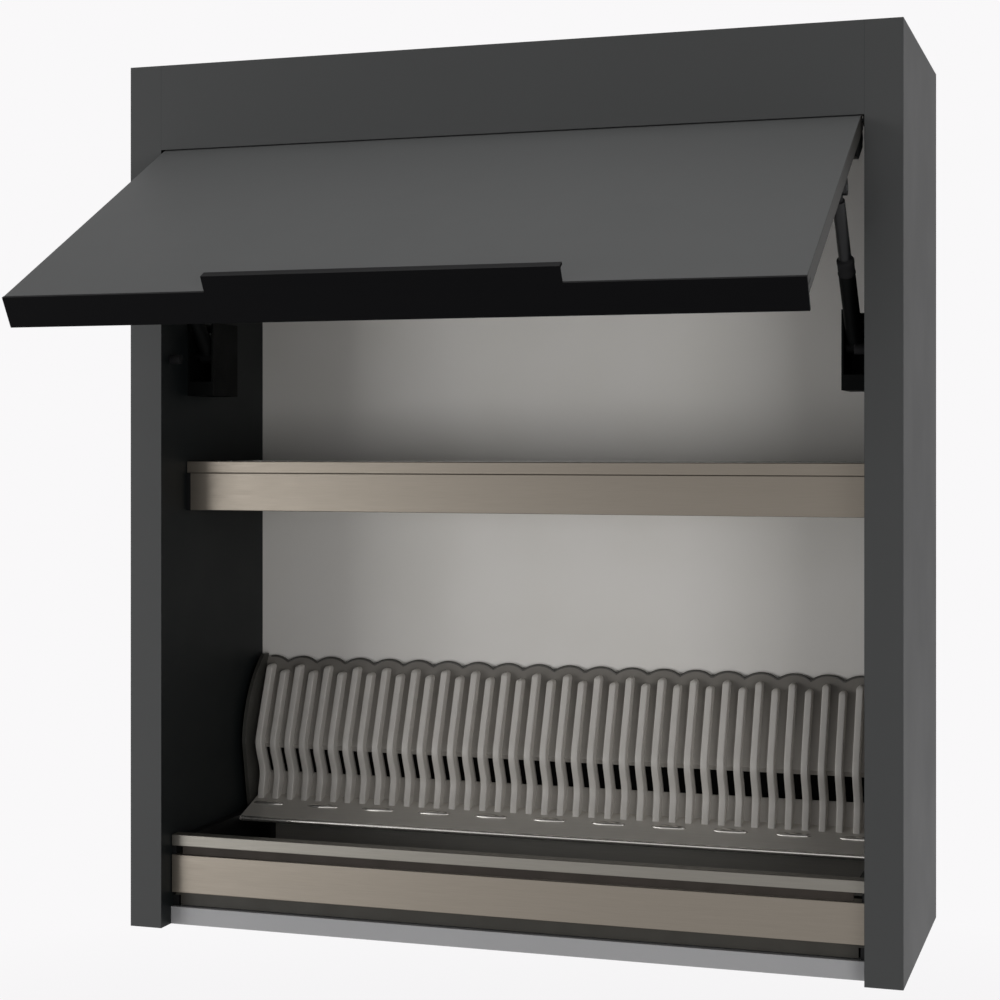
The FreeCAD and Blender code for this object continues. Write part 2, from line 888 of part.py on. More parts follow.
def make_glass_grid():
    half = rim_half - grid_end_gap
    wire_z = trim_foot_z + trim_foot_thickness + grid_wire_radius
    front_wire_y = rim_front_y + trim_foot - grid_wire_radius
    rear_wire_y = rim_rear_y - trim_foot
    middle_y = (front_wire_y + rear_wire_y) / 2
    lower = []
    for y in (front_wire_y, middle_y, rear_wire_y):
        lower.append(bar_x(-half, half, y, wire_z, grid_wire_radius))
    cross_z = wire_z + grid_wire_radius + cross_wire_radius - wire_sink
    y0 = front_wire_y - cross_wire_overhang
    y1 = rear_wire_y + cross_wire_overhang
    count = int(2 * (half - cross_wire_radius) // cross_wire_pitch)
    cross = []
    for index in range(count + 1):
        x = (index - count / 2) * cross_wire_pitch
        cross.append(bar_y(x, y0, y1, cross_z, cross_wire_radius))
    feet = []
    for x in (grid_foot_inset - half, half - grid_foot_inset):
        foot = block(
            x - grid_wire_radius, x + grid_wire_radius,
            rear_wire_y - grid_wire_radius, rear_wire_y + grid_wire_radius,
            trim_foot_z, wire_z,
        )
        feet.append(foot.cut(lower[-1]))
    # The cross wires are welded into shallow seats in the lower ones.
    seated = [wire.cut(cross) for wire in lower]
    save("glass_grid", *seated, *cross, *feet)


# Drip tray under the lower unit

runner_x = inner_x - runner_width
runner_top_z = floor_top_z + runner_height


def make_tray_runners():
    y0 = lower_front_y + drip_tray_setback
    y1 = rear_profile_y - drip_tray_rear_gap
    runner = block(runner_x, inner_x, y0, y1, floor_top_z, runner_top_z)
    save("tray_runners", *pair(runner))


def make_drip_tray():
    t = tray_wall
    half = inner_x - drip_side_gap
    y0 = lower_front_y + drip_tray_setback
    y1 = rear_profile_y - drip_tray_rear_gap
    z0 = floor_top_z + drip_tray_lift
    z1 = z0 + drip_tray_height
    outer = block(-half, half, y0, y1, z0, z1)
    hollow = block(-half + t, half - t, y0 + t, y1 - t, z0 + t, z1)
    flange = block(-half - drip_flange_width, half + drip_flange_width, y0, y1, runner_top_z, z1)
    tray = outer.fuse(flange).removeSplitter().cut(hollow)
    save("drip_tray", tray)


# Lift-off plate rack

arm_z = lower_z + profile_height + bracket_ledge
arm_top_z = arm_z + arm_height
arm_outer_x = inner_x - arm_side_gap
arm_inner_x = arm_outer_x - arm_width
rail_rear_y = lower_front_y + rail_thickness
cheek_outer_x = arm_outer_x - (arm_width - cheek_thickness) / 2
cheek_inner_x = cheek_outer_x - cheek_thickness


def make_rack_front_rail():
    half = inner_x - front_wall_play
    z1 = arm_z + rail_height
    strip = block(-half, half, lower_front_y, rail_rear_y, arm_z, z1)
    top = block(-half, half, lower_front_y, rail_rear_y + rail_return, z1 - profile_wall, z1)
    rail = strip.fuse(top).removeSplitter()
    edges = long_front_edges(rail, lower_front_y)
    save("rack_front_rail", rail.makeFillet(profile_edge_round, edges))


def make_rack_side_arms():
    rear = back_front_y - arm_rear_gap
    arm = block(arm_inner_x, arm_outer_x, rail_rear_y, rear, arm_z, arm_top_z)
    pad_top = arm_z + rail_height - profile_wall
    pad = block(arm_inner_x, arm_outer_x, rail_rear_y, rail_rear_y + rail_return, arm_z, pad_top)
    save("rack_side_arms", *pair(arm.fuse(pad).removeSplitter()))


def base_top_z(y):
    """Height of the sloping base above a depth from the wall."""
    y0 = back_front_y - base_front_reach
    y1 = back_front_y - web_foot_reach
    z0 = floor_z + base_front_height + base_front_thickness
    z1 = floor_z + web_foot_height
    return z0 + (z1 - z0) * (y - y0) / (y1 - y0)


def make_rack_base():
    y0 = back_front_y - base_front_reach
    y1 = back_front_y - base_rear_reach
    z0 = floor_z + base_front_height
    outline = [
        (y0, z0),
        (y1, base_top_z(y1) - base_rear_thickness),
        (y1, base_top_z(y1)),
        (y0, base_top_z(y0)),
    ]
    base = slab_x(-arm_inner_x, arm_inner_x, outline)
    save("rack_base", base.makeFillet(base_edge_round, long_front_edges(base, y0)))


def web_line():
    """Front face of the web, from its foot to the valleys between the arches."""
    return [
        (back_front_y - web_foot_reach, floor_z + web_foot_height),
        (back_front_y - web_waist_reach, floor_z + web_waist_height),
        (back_front_y - web_kink_reach, floor_z + web_kink_height),
        (back_front_y - web_top_reach, floor_z + web_valley_height),
    ]


def web_front_y(z):
    """Depth of the upper, leaning part of the web at a height."""
    low, high = web_line()[-2:]
    return low[0] + (high[0] - low[0]) * (z - low[1]) / (high[1] - low[1])


def upright_outline(top_z, offset, thickness):
    """Closed outline that follows the web up to a height and stands on the base."""
    line = web_line()[:-1] + [(web_front_y(top_z), top_z)]
    front = [(y + offset, z) for y, z in line[1:]]
    rear = [(y + offset + thickness, z) for y, z in line[1:]]
    front_foot_y = line[0][0] + offset
    rear_foot_y = front_foot_y + thickness
    outline = [(front_foot_y, base_top_z(front_foot_y))] + front
    outline += rear[::-1] + [(rear_foot_y, base_top_z(rear_foot_y))]
    return outline


def gap_count():
    return int(round(2 * inner_x / fin_spacing))


def fin_pitch():
    return 2 * inner_x / gap_count()


def make_rack_web():
    valley_z = floor_z + web_valley_height
    crest_z = valley_z + arch_rise
    web = slab_x(-cheek_inner_x, cheek_inner_x, upright_outline(crest_z, 0, web_thickness))
    pitch = fin_pitch()
    y0 = back_front_y - web_kink_reach - fin_reach
    y1 = back_front_y - web_top_reach + fin_reach
    band = block(-inner_x, inner_x, y0, y1, valley_z, crest_z + arch_rise)
    radius = (pitch ** 2 + arch_rise ** 2) / (2 * arch_rise)
    arches = []
    for index in range(1, gap_count() + 1, 2):
        arches.append(bar_y(index * pitch - inner_x, y0, y1, crest_z - radius, radius))
    cuts = [band.cut(arches)]
    half = slot_width / 2
    z0 = floor_z + slot_bottom
    z1 = floor_z + slot_top
    for index in range(gap_count()):
        x = (index + 0.5) * pitch - inner_x
        if abs(x) + slot_width < cheek_inner_x:
            cuts.append(block(x - half, x + half, y0, y1, z0, z1))
    save("rack_web", web.cut(cuts))


def is_fin_tip(edge, y, z):
    box = edge.BoundBox
    return box.ZMin > z - same_place and box.YMax < y + same_place


def make_divider_fins():
    fins = []
    for index in range(1, gap_count()):
        tall = index % 2 == 1
        top_z = floor_z + (fin_tall_height if tall else fin_short_height)
        x = index * fin_pitch() - inner_x
        outline = upright_outline(top_z, -fin_reach, fin_reach)
        fin = slab_x(x - fin_thickness / 2, x + fin_thickness / 2, outline)
        tip_y = web_front_y(top_z) - fin_reach
        tip = [edge for edge in fin.Edges if is_fin_tip(edge, tip_y, top_z)]
        fins.append(fin.makeFillet(fin_tip_round, tip))
    save("divider_fins", *fins)


def make_rack_cheeks():
    x = cheek_inner_x
    rear_y = back_front_y - cheek_back_gap
    top_z = floor_z + cheek_top_height
    corner = FreeCAD.Vector(x, rear_y, top_z)
    crown = FreeCAD.Vector(x, back_front_y - cheek_crown_reach, top_z)
    belly = FreeCAD.Vector(x, back_front_y - cheek_belly_reach, floor_z + cheek_belly_height)
    front = FreeCAD.Vector(x, back_front_y - cheek_front_reach, floor_z + cheek_front_height)
    foot = FreeCAD.Vector(x, back_front_y - cheek_foot_reach, arm_top_z)
    heel = FreeCAD.Vector(x, rear_y, arm_top_z)
    edges = [
        Part.makeLine(corner, crown),
        Part.Arc(crown, belly, front).toShape(),
        Part.makeLine(front, foot),
        Part.makeLine(foot, heel),
        Part.makeLine(heel, corner),
    ]
    face = Part.Face(Part.Wire(edges))
    cheek = face.extrude(FreeCAD.Vector(cheek_thickness, 0, 0))
    save("rack_end_cheeks", *pair(cheek))


make_side_panels()
make_top_panel()
make_top_fascia()
make_bottom_panel()
make_back_panel()
make_back_rail()
make_dowels()
make_wall_plates()
make_hanger_housings()
make_hanger_hooks()
make_hanger_screws()
make_hanger_caps()
make_flap_panel()
make_edge_strips()
make_flap_grip()
make_pivot_pins()
make_pivot_bushes()
make_flap_buffers()
make_strut_brackets()
make_strut_head_pins()
make_flap_screws()
make_strut_rods()
make_rod_ends()
make_strut_cylinders()
make_strut_bases()
make_strut_covers()
make_strut_screws()
make_upper_frame()
make_lower_frame()
make_upper_tray()
make_upper_tray_trim()
make_glass_grid()
make_tray_runners()
make_drip_tray()
make_rack_front_rail()
make_rack_side_arms()
make_rack_base()
make_rack_web()
make_divider_fins()
make_rack_cheeks()
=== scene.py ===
import json
import math

import bmesh
import bpy
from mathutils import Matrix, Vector


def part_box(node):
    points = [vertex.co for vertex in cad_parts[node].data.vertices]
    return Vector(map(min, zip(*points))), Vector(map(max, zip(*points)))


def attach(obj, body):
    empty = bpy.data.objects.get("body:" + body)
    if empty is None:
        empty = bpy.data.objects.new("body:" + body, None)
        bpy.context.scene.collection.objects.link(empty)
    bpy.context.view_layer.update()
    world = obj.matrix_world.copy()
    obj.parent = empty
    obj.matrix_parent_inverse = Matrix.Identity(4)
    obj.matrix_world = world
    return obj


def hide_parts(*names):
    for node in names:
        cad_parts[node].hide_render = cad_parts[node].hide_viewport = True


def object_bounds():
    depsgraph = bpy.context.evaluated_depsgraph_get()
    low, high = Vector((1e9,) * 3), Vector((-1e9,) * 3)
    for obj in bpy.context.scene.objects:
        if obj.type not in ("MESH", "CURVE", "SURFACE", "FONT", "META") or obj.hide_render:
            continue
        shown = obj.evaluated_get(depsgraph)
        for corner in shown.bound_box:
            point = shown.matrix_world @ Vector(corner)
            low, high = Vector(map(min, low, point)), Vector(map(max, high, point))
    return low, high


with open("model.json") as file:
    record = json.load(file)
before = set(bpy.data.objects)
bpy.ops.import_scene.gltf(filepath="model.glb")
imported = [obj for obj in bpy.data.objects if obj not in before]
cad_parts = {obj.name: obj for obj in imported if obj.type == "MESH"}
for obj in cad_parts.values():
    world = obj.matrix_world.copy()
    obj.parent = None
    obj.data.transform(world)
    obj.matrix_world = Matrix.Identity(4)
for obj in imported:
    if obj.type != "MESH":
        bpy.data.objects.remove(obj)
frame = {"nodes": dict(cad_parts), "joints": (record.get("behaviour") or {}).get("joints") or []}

cadBox = [list(corner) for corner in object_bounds()]
nodes = frame["nodes"]
mm = 0.001

# The camera stands right of the middle and looks level, so uprights stay upright.
camera = {
    "place": (0.61306, -2.15843, -0.31592),
    "turnLeft": 18.04,
    "lens": 71.4,
    "sensor": 36.0,
    "shiftY": -0.0548,
}

stage = {
    "floorDrop": 0.62,       # below the underside of the cabinet
    "floorSize": 12.0,
    "glow": 0.86,            # how much of the floor's white is its own under the unit, the rest takes shadow
    "fade": (0.8, 2.6),      # metres from the middle over which it becomes all its own, so no horizon shows
    "paper": "#f9f8f9",
    "roughness": 0.9,
}

lights = {
    # name: place, aimed at, size, watts, colour
    "leftFront": ((-1.9, -2.6, -0.7), (0.0, -0.2, -0.5), 1.2, 16.5, "#ffffff"),
    "leftMid": ((-2.3, -1.9, -0.1), (0.0, -0.2, -0.4), 0.9, 7.5, "#ffffff"),
    "overhead": ((-0.25, -0.6, 2.5), (-0.05, -0.35, 0.0), 1.6, 42.0, "#ffffff"),
    "right": ((2.8, -0.6, 0.2), (0.2, -0.1, -0.45), 1.6, 4.0, "#ffffff"),
    "rightLow": ((1.9, -2.8, -0.6), (-0.2, -0.05, -0.35), 1.2, 19.5, "#ffffff"),
}
# how bright the white surroundings are to matt surfaces, and how bright in reflections
worldDiffuse = 0.16
worldGlossy = 0.78


def linear(hexValue):
    # sRGB hex to linear red, green, blue, alpha
    parts = [int(hexValue[i:i + 2], 16) / 255 for i in (1, 3, 5)]
    flat = [c / 12.92 if c <= 0.04045 else ((c + 0.055) / 1.055) ** 2.4 for c in parts]
    return (*flat, 1.0)


def addNode(tree, kind, inputs=None, **settings):
    node = tree.nodes.new(kind)
    for name, value in settings.items():
        setattr(node, name, value)
    for socket, value in (inputs or {}).items():
        if isinstance(value, bpy.types.NodeSocket):
            tree.links.new(value, node.inputs[socket])
        else:
            node.inputs[socket].default_value = value
    return node


def newMaterial(name):
    material = bpy.data.materials.new(name)
    material.use_nodes = True
    tree = material.node_tree
    tree.nodes.clear()
    shader = addNode(tree, "ShaderNodeBsdfPrincipled")
    output = addNode(tree, "ShaderNodeOutputMaterial", {"Surface": shader.outputs["BSDF"]})
    where = addNode(tree, "ShaderNodeTexCoord").outputs["Object"]
    return material, tree, shader, where


def speckle(tree, where, size, detail=2.0, stretch=(1, 1, 1)):
    # noise whose grains are about size metres across
    mapped = addNode(tree, "ShaderNodeMapping", {"Vector": where, "Scale": stretch})
    noise = addNode(tree, "ShaderNodeTexNoise", {
        "Vector": mapped.outputs["Vector"], "Scale": 1 / size, "Detail": detail,
    })
    return noise.outputs["Fac"]


# A mix node has sockets of every type under the same names, so colours are set by place.
def mixColour(tree, factor, first, second):
    mix = addNode(tree, "ShaderNodeMix", data_type="RGBA")
    for place, value in ((0, factor), (6, first), (7, second)):
        if isinstance(value, bpy.types.NodeSocket):
            tree.links.new(value, mix.inputs[place])
        else:
            mix.inputs[place].default_value = value
    return mix.outputs[2]


def setRange(tree, value, low, high, start=0.35, end=0.65):
    # most values of a noise lie between the start and the end given here
    node = addNode(tree, "ShaderNodeMapRange", {
        "Value": value, "From Min": start, "From Max": end, "To Min": low, "To Max": high,
    })
    return node.outputs["Result"]


def setBump(tree, shader, height, distance, strength=0.5):
    bump = addNode(tree, "ShaderNodeBump", {
        "Height": height, "Distance": distance, "Strength": strength,
    })
    tree.links.new(bump.outputs["Normal"], shader.inputs["Normal"])


# MDF sprayed with matt lacquer: an even anthracite, with a faint orange peel in the sheen.
lacquer = {
    "colour": "#444545",
    "colourWorn": "#454646",
    # painted shade: the side panels' inner faces, the same lacquer, are coloured near-black
    "inside": "#101415",
    "ends": "#2d2c29",
    "roughness": (0.53, 0.57),
    "ior": 1.48,
    "gloss": 0.25,
    "peel": 0.9 * mm,
    "peelDepth": 0.03 * mm,
    "bump": 0.25,
    "patch": 90 * mm,
}


def lacqueredBoard(name, shade=None, edge=0.0, beyond="LESS_THAN"):
    material, tree, shader, where = newMaterial(name)
    patches = speckle(tree, where, lacquer["patch"], 3)
    worn = setRange(tree, patches, 0, 1)
    colour = mixColour(tree, worn, linear(lacquer["colour"]), linear(lacquer["colourWorn"]))
    if shade:
        # the faces nearer the middle than edge, or beyond it, get another colour: painted shade on the side
        # panels' inner faces, darker ends on the flap
        x = addNode(tree, "ShaderNodeSeparateXYZ", {"Vector": where}).outputs["X"]
        away = addNode(tree, "ShaderNodeMath", {0: x}, operation="ABSOLUTE").outputs[0]
        chosen = addNode(tree, "ShaderNodeMath", {0: away, 1: edge}, operation=beyond).outputs[0]
        colour = mixColour(tree, chosen, colour, linear(shade))
    tree.links.new(colour, shader.inputs["Base Color"])
    tree.links.new(setRange(tree, patches, *lacquer["roughness"]), shader.inputs["Roughness"])
    shader.inputs["IOR"].default_value = lacquer["ior"]
    shader.inputs["Specular IOR Level"].default_value = lacquer["gloss"]
    setBump(tree, shader, speckle(tree, where, lacquer["peel"], 1), lacquer["peelDepth"], lacquer["bump"])
    return material


# Melamine-faced chipboard, pressed between plates: satin, even, with a fine pebble that breaks up the sheen.
melamine = {
    "roughness": (0.44, 0.52),
    "ior": 1.5,
    "cloud": 120 * mm,
    "pebble": 0.7 * mm,
    "pebbleDepth": 0.02 * mm,
    "bump": 0.3,
}


def melamineBoard(name, first, second):
    material, tree, shader, where = newMaterial(name)
    cloud = speckle(tree, where, melamine["cloud"], 2)
    colour = mixColour(tree, setRange(tree, cloud, 0, 1), linear(first), linear(second))
    tree.links.new(colour, shader.inputs["Base Color"])
    tree.links.new(setRange(tree, cloud, *melamine["roughness"]), shader.inputs["Roughness"])
    shader.inputs["IOR"].default_value = melamine["ior"]
    pebbles = speckle(tree, where, melamine["pebble"], 1)
    setBump(tree, shader, pebbles, melamine["pebbleDepth"], melamine["bump"])
    return material


# Extruded aluminium, brushed along its length and anodised: long fine lines that draw the
# highlights out along X. Real brushing is under 0.1 mm, so it is drawn coarser to show at all. The
# rack's sheet steel is brushed the same way.
brushing = {
    "lineWidth": 0.45 * mm,
    "lineLength": 70,        # times the width
    "streakWidth": 5 * mm,   # broad soft streaks left by the drawing die
    "streakShare": 0.35,
    "tone": (0.45, 0.9),     # where in the lines the colour starts and stops changing
    "lineDepth": 0.008 * mm,
    "bump": 0.25,
}


def brushedAluminium(name, first, second, metallic, roughness, gloss=0.5):
    material, tree, shader, where = newMaterial(name)
    along = (1 / brushing["lineLength"], 1, 1)
    lines = speckle(tree, where, brushing["lineWidth"], 2, along)
    streaks = speckle(tree, where, brushing["streakWidth"], 2, along)
    both = addNode(tree, "ShaderNodeMath", {
        0: streaks, 1: brushing["streakShare"], 2: lines,
    }, operation="MULTIPLY_ADD").outputs[0]
    tone = setRange(tree, both, 0, 1, *brushing["tone"])
    tree.links.new(mixColour(tree, tone, linear(first), linear(second)), shader.inputs["Base Color"])
    tree.links.new(setRange(tree, lines, *roughness), shader.inputs["Roughness"])
    shader.inputs["Metallic"].default_value = metallic
    shader.inputs["Specular IOR Level"].default_value = gloss
    setBump(tree, shader, lines, brushing["lineDepth"], brushing["bump"])
    return material


# Injection-moulded plastics and rubbers: a fine spark-eroded grain over slight flow marks.
moulding = {
    "grain": 0.8 * mm,
    "grainDepth": 0.03 * mm,
    "bump": 0.3,
    "flow": 25 * mm,
    "smoother": 0.04,        # how far the roughness falls and rises with the flow marks
    "rougher": 0.05,
    "ior": 1.49,
    "mottle": 0.04,
    "footShare": 0.15,       # where the web's painted shade starts and stops changing, as shares of its height
    "topShare": 0.1,
}


def mouldedPlastic(name, first, second, roughness, gloss=0.5):
    material, tree, shader, where = newMaterial(name)
    flow = speckle(tree, where, moulding["flow"], 3)
    colour = mixColour(tree, setRange(tree, flow, 0, 1), linear(first), linear(second))
    tree.links.new(colour, shader.inputs["Base Color"])
    low, high = roughness - moulding["smoother"], roughness + moulding["rougher"]
    tree.links.new(setRange(tree, flow, low, high), shader.inputs["Roughness"])
    shader.inputs["IOR"].default_value = moulding["ior"]
    shader.inputs["Specular IOR Level"].default_value = gloss
    grain = speckle(tree, where, moulding["grain"], 1)
    setBump(tree, shader, grain, moulding["grainDepth"], moulding["bump"])
    return material


def combWebPaintedShade(name, high, low, roughness):
    # the colour runs from the foot of the web to its scalloped top, darker at the top: painted shade
    material, tree, shader, where = newMaterial(name)
    bottom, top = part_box("rack_web")
    z = addNode(tree, "ShaderNodeSeparateXYZ", {"Vector": where}).outputs["Z"]
    height = top.z - bottom.z
    start, end = bottom.z + moulding["footShare"] * height, top.z - moulding["topShare"] * height
    shadeRise = setRange(tree, z, 0, 1, start, end)
    flow = setRange(tree, speckle(tree, where, moulding["flow"], 3), -moulding["mottle"], moulding["mottle"])
    shade = addNode(tree, "ShaderNodeMath", {0: shadeRise, 1: flow}, operation="ADD").outputs[0]
    tree.links.new(mixColour(tree, shade, linear(low), linear(high)), shader.inputs["Base Color"])
    shader.inputs["Roughness"].default_value = roughness
    shader.inputs["IOR"].default_value = moulding["ior"]
    grain = speckle(tree, where, moulding["grain"], 1)
    setBump(tree, shader, grain, moulding["grainDepth"], moulding["bump"])
    return material


# Steels: zinc plate with a faint spangle, drawn stainless wire, and black stove enamel with a soft gloss.
plating = {
    "spangle": 4 * mm,
    "scratch": 0.4 * mm,
    "scratchDepth": 0.01 * mm,
    "bump": 0.25,
    "smoother": 0.04,
    "rougher": 0.06,
}


def platedSteel(name, first, second, metallic, roughness, gloss=0.5):
    material, tree, shader, where = newMaterial(name)
    spangle = speckle(tree, where, plating["spangle"], 2)
    colour = mixColour(tree, setRange(tree, spangle, 0, 1), linear(first), linear(second))
    tree.links.new(colour, shader.inputs["Base Color"])
    low, high = roughness - plating["smoother"], roughness + plating["rougher"]
    tree.links.new(setRange(tree, spangle, low, high), shader.inputs["Roughness"])
    shader.inputs["Metallic"].default_value = metallic
    shader.inputs["Specular IOR Level"].default_value = gloss
    scratches = speckle(tree, where, plating["scratch"], 1)
    setBump(tree, shader, scratches, plating["scratchDepth"], plating["bump"])
    return material


# Wood: turned beech with grain along X, and raw chipboard with coarse flat chips.
wood = {
    "grainWidth": 0.6 * mm,
    "grainStretch": (0.08, 1, 1),
    "grainDepth": 0.05 * mm,
    "grainBump": 0.4,
    "roughness": 0.6,
    "chipSize": 3 * mm,
    "chipDepth": 0.2 * mm,
    "chipBump": 0.5,
    "chipRoughness": 0.85,
}


def turnedWood(name, first, second):
    material, tree, shader, where = newMaterial(name)
    grain = speckle(tree, where, wood["grainWidth"], 3, wood["grainStretch"])
    colour = mixColour(tree, setRange(tree, grain, 0, 1), linear(first), linear(second))
    tree.links.new(colour, shader.inputs["Base Color"])
    shader.inputs["Roughness"].default_value = wood["roughness"]
    setBump(tree, shader, grain, wood["grainDepth"], wood["grainBump"])
    return material


def rawChipboard(name, first, second):
    material, tree, shader, where = newMaterial(name)
    chips = addNode(tree, "ShaderNodeTexVoronoi", {"Vector": where, "Scale": 1 / wood["chipSize"]})
    colour = mixColour(tree, chips.outputs["Distance"], linear(first), linear(second))
    tree.links.new(colour, shader.inputs["Base Color"])
    shader.inputs["Roughness"].default_value = wood["chipRoughness"]
    setBump(tree, shader, chips.outputs["Distance"], wood["chipDepth"], wood["chipBump"])
    return material


# each face lies this far inside the part of the board that has its colour
faceMargin = 0.2 * mm
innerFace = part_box("right_side_panel")[0].x + faceMargin
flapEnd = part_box("flap_panel")[1].x - faceMargin

print("materials")
boardOutside = lacqueredBoard("lacqueredMdf")
# the side panels' inner faces carry painted shade
boardPaintedShadeInside = lacqueredBoard("lacqueredMdfPaintedShadeInside", lacquer["inside"], innerFace)
boardFlap = lacqueredBoard("lacqueredMdfDarkEnds", lacquer["ends"], flapEnd, "GREATER_THAN")
# warm light grey for the back panel, cooler and darker for the bottom panel
boardGrey = melamineBoard("lightGreyMelamine", "#e6e3de", "#e4e1db")
boardFloor = melamineBoard("coolGreyMelamine", "#a6a6a7", "#a3a3a4")
boardBlack = melamineBoard("blackMelamine", "#17191a", "#1a1c1d")
champagne = brushedAluminium("champagneAnodised", "#837c72", "#7e776d", 0.85, (0.34, 0.42))
railChampagne = brushedAluminium("paleChampagneAnodised", "#817e77", "#7a7770", 0.85, (0.34, 0.42))
# for the rear profiles: a mill finish made pale as painted light, so the shaded channel behind the rack's
# base reads lighter
paleAluminiumPaintedLight = brushedAluminium("paleAluminiumPaintedLight", "#b4b1aa", "#a9a69f", 0.3, (0.45, 0.55))
blackTrim = brushedAluminium("blackAnodised", "#050507", "#070708", 0.0, (0.46, 0.54), 0.05)
# The rack's base is satin, so that it doesn't mirror the comb. Its lip and pips are polished.
baseSatin = brushedAluminium("satinStainless", "#d6d2cb", "#cdc9c2", 0.12, (0.34, 0.4))
pipPolish = brushedAluminium("polishedStainless", "#e6e3dd", "#dcd9d3", 0.8, (0.2, 0.26))
# soft light grey fins, and a web behind them with painted shade that darkens it towards its rim
combGrey = mouldedPlastic("satinPolypropylene", "#d4d0ca", "#cfcbc5", 0.4)
webGreyPaintedShade = combWebPaintedShade("greyPolypropyleneShadedRim", "#7d7973", "#bab6b0", 0.42)
rimGrey = mouldedPlastic("darkGreyPolypropylene", "#4a4844", "#46443f", 0.45)
cheekGrey = mouldedPlastic("graphitePolypropylene", "#42413d", "#3c3b37", 0.4)
traySmoke = mouldedPlastic("smokedPolystyrene", "#3d3b36", "#393732", 0.38, 0.2)
blackAbs = mouldedPlastic("blackAbs", "#0a0b0c", "#0d0e0f", 0.5, 0.2)
# deep black with hardly any sheen
strutBlack = mouldedPlastic("glassFilledNylon", "#060707", "#080909", 0.55, 0.06)
# painted shade: the brown of the shaded gap under the rack's rail
skirtShadeBrown = mouldedPlastic("gapShadeElastomer", "#352f2a", "#312c27", 0.6, 0.2)
# painted shade: black for the strip that stands in for the shade behind the comb's slots
shadeStripBlack = mouldedPlastic("paintedShadePolypropylene", "#040404", "#060606", 0.7, 0.1)
nylonWhite = mouldedPlastic("naturalNylon", "#d8d6d0", "#cfcdc6", 0.45)
rubberBlack = mouldedPlastic("nitrileRubber", "#0f0f10", "#141415", 0.8, 0.2)
enamelBlack = platedSteel("blackEnamelSteel", "#0b0c0d", "#0f1011", 0.0, 0.4, 0.3)
zincSteel = platedSteel("zincPlatedSteel", "#c3c6c8", "#aeb1b3", 1.0, 0.3)
stainless = platedSteel("drawnStainless", "#cfcfcd", "#bfbfbd", 1.0, 0.2)
beech = turnedWood("turnedBeech", "#c79b72", "#a97c55")
chipboard = rawChipboard("rawChipboard", "#b99a72", "#8f7350")

finishes = {
    boardOutside: ["top_fascia"],
    boardFlap: ["flap_panel"],
    boardPaintedShadeInside: ["left_side_panel", "right_side_panel"],
    boardBlack: ["top_panel"],
    boardGrey: ["back_panel"],
    boardFloor: ["bottom_panel"],
    chipboard: ["back_rail"],
    beech: ["carcass_dowels"],
    champagne: ["upper_front_profile", "lower_front_profile", "upper_tray_trim"],
    railChampagne: ["rack_front_rail"],
    paleAluminiumPaintedLight: ["upper_rear_profile", "lower_rear_profile"],
    blackTrim: ["flap_edge_strips", "flap_grip"],
    blackAbs: [
        "upper_left_bracket", "upper_right_bracket", "lower_left_bracket", "lower_right_bracket",
        "tray_runners", "rack_side_arms", "hanger_housings", "left_rod_end", "right_rod_end",
    ],
    strutBlack: [
        "left_strut_cover", "right_strut_cover", "left_strut_cylinder", "right_strut_cylinder",
        "left_strut_base", "right_strut_base", "pivot_bushes",
    ],
    combGrey: ["divider_fins"],
    webGreyPaintedShade: ["rack_web"],
    baseSatin: ["rack_base"],
    cheekGrey: ["rack_end_cheeks"],
    traySmoke: ["upper_tray", "drip_tray"],
    enamelBlack: ["left_strut_rod", "right_strut_rod", "strut_brackets", "pivot_pins"],
    zincSteel: [
        "wall_plates", "hanger_hooks", "hanger_screws", "strut_head_pins",
        "flap_screws", "strut_base_screws", "upper_bracket_screws", "lower_bracket_screws",
    ],
    stainless: ["glass_grid"],
    nylonWhite: ["hanger_caps"],
    rubberBlack: ["flap_buffers"],
}
for material, names in finishes.items():
    for name in names:
        for slot in nodes[name].material_slots:
            slot.material = material


# Pieces are drawn in millimetres from the underside, the back panel and the middle of the unit.
floorZ = cadBox[0][2]
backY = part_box("back_panel")[0].y
collection = bpy.context.scene.collection


def placed(x, reach, height):
    # a point so many millimetres to the right, in front of the back panel and above the underside
    return Vector((x * mm, backY - reach * mm, floorZ + height * mm))


def newPiece(name, shape, material=None, smoothAngle=35):
    # turns a bmesh into an object, smooth but for its sharp edges
    bmesh.ops.recalc_face_normals(shape, faces=shape.faces)
    mesh = bpy.data.meshes.new(name)
    shape.to_mesh(mesh)
    shape.free()
    for face in mesh.polygons:
        face.use_smooth = True
    mesh.set_sharp_from_angle(angle=math.radians(smoothAngle))
    if material:
        mesh.materials.append(material)
    piece = bpy.data.objects.new(name, mesh)
    collection.objects.link(piece)
    return piece


def skin(rings, closed=False):
    # skins a row of equal rings of points and caps its ends
    shape = bmesh.new()
    loops = [[shape.verts.new(point) for point in ring] for ring in rings]
    pairs = list(zip(loops, loops[1:]))
    if closed:
        pairs.append((loops[-1], loops[0]))
    for low, high in pairs:
        for i in range(len(low)):
            j = (i + 1) % len(low)
            shape.faces.new((low[i], low[j], high[j], high[i]))
    if not closed:
        shape.faces.new(loops[0][::-1])
        shape.faces.new(loops[-1])
    return shape


def turned(profile, sides):
    # rings of a turned shape around Z, from (radius, height) pairs in millimetres
    rings = []
    for radius, height in profile:
        ring = []
        for k in range(sides):
            angle = 2 * math.pi * k / sides
            ring.append(Vector((radius * math.cos(angle), radius * math.sin(angle), height)) * mm)
        rings.append(ring)
    return rings


def newTree(name, inputs):
    tree = bpy.data.node_groups.new(name, "GeometryNodeTree")
    for label, kind in inputs.items():
        tree.interface.new_socket(label, in_out="INPUT", socket_type="NodeSocket" + kind)
    tree.interface.new_socket("Geometry", in_out="OUTPUT", socket_type="NodeSocketGeometry")
    return tree, addNode(tree, "NodeGroupInput").outputs


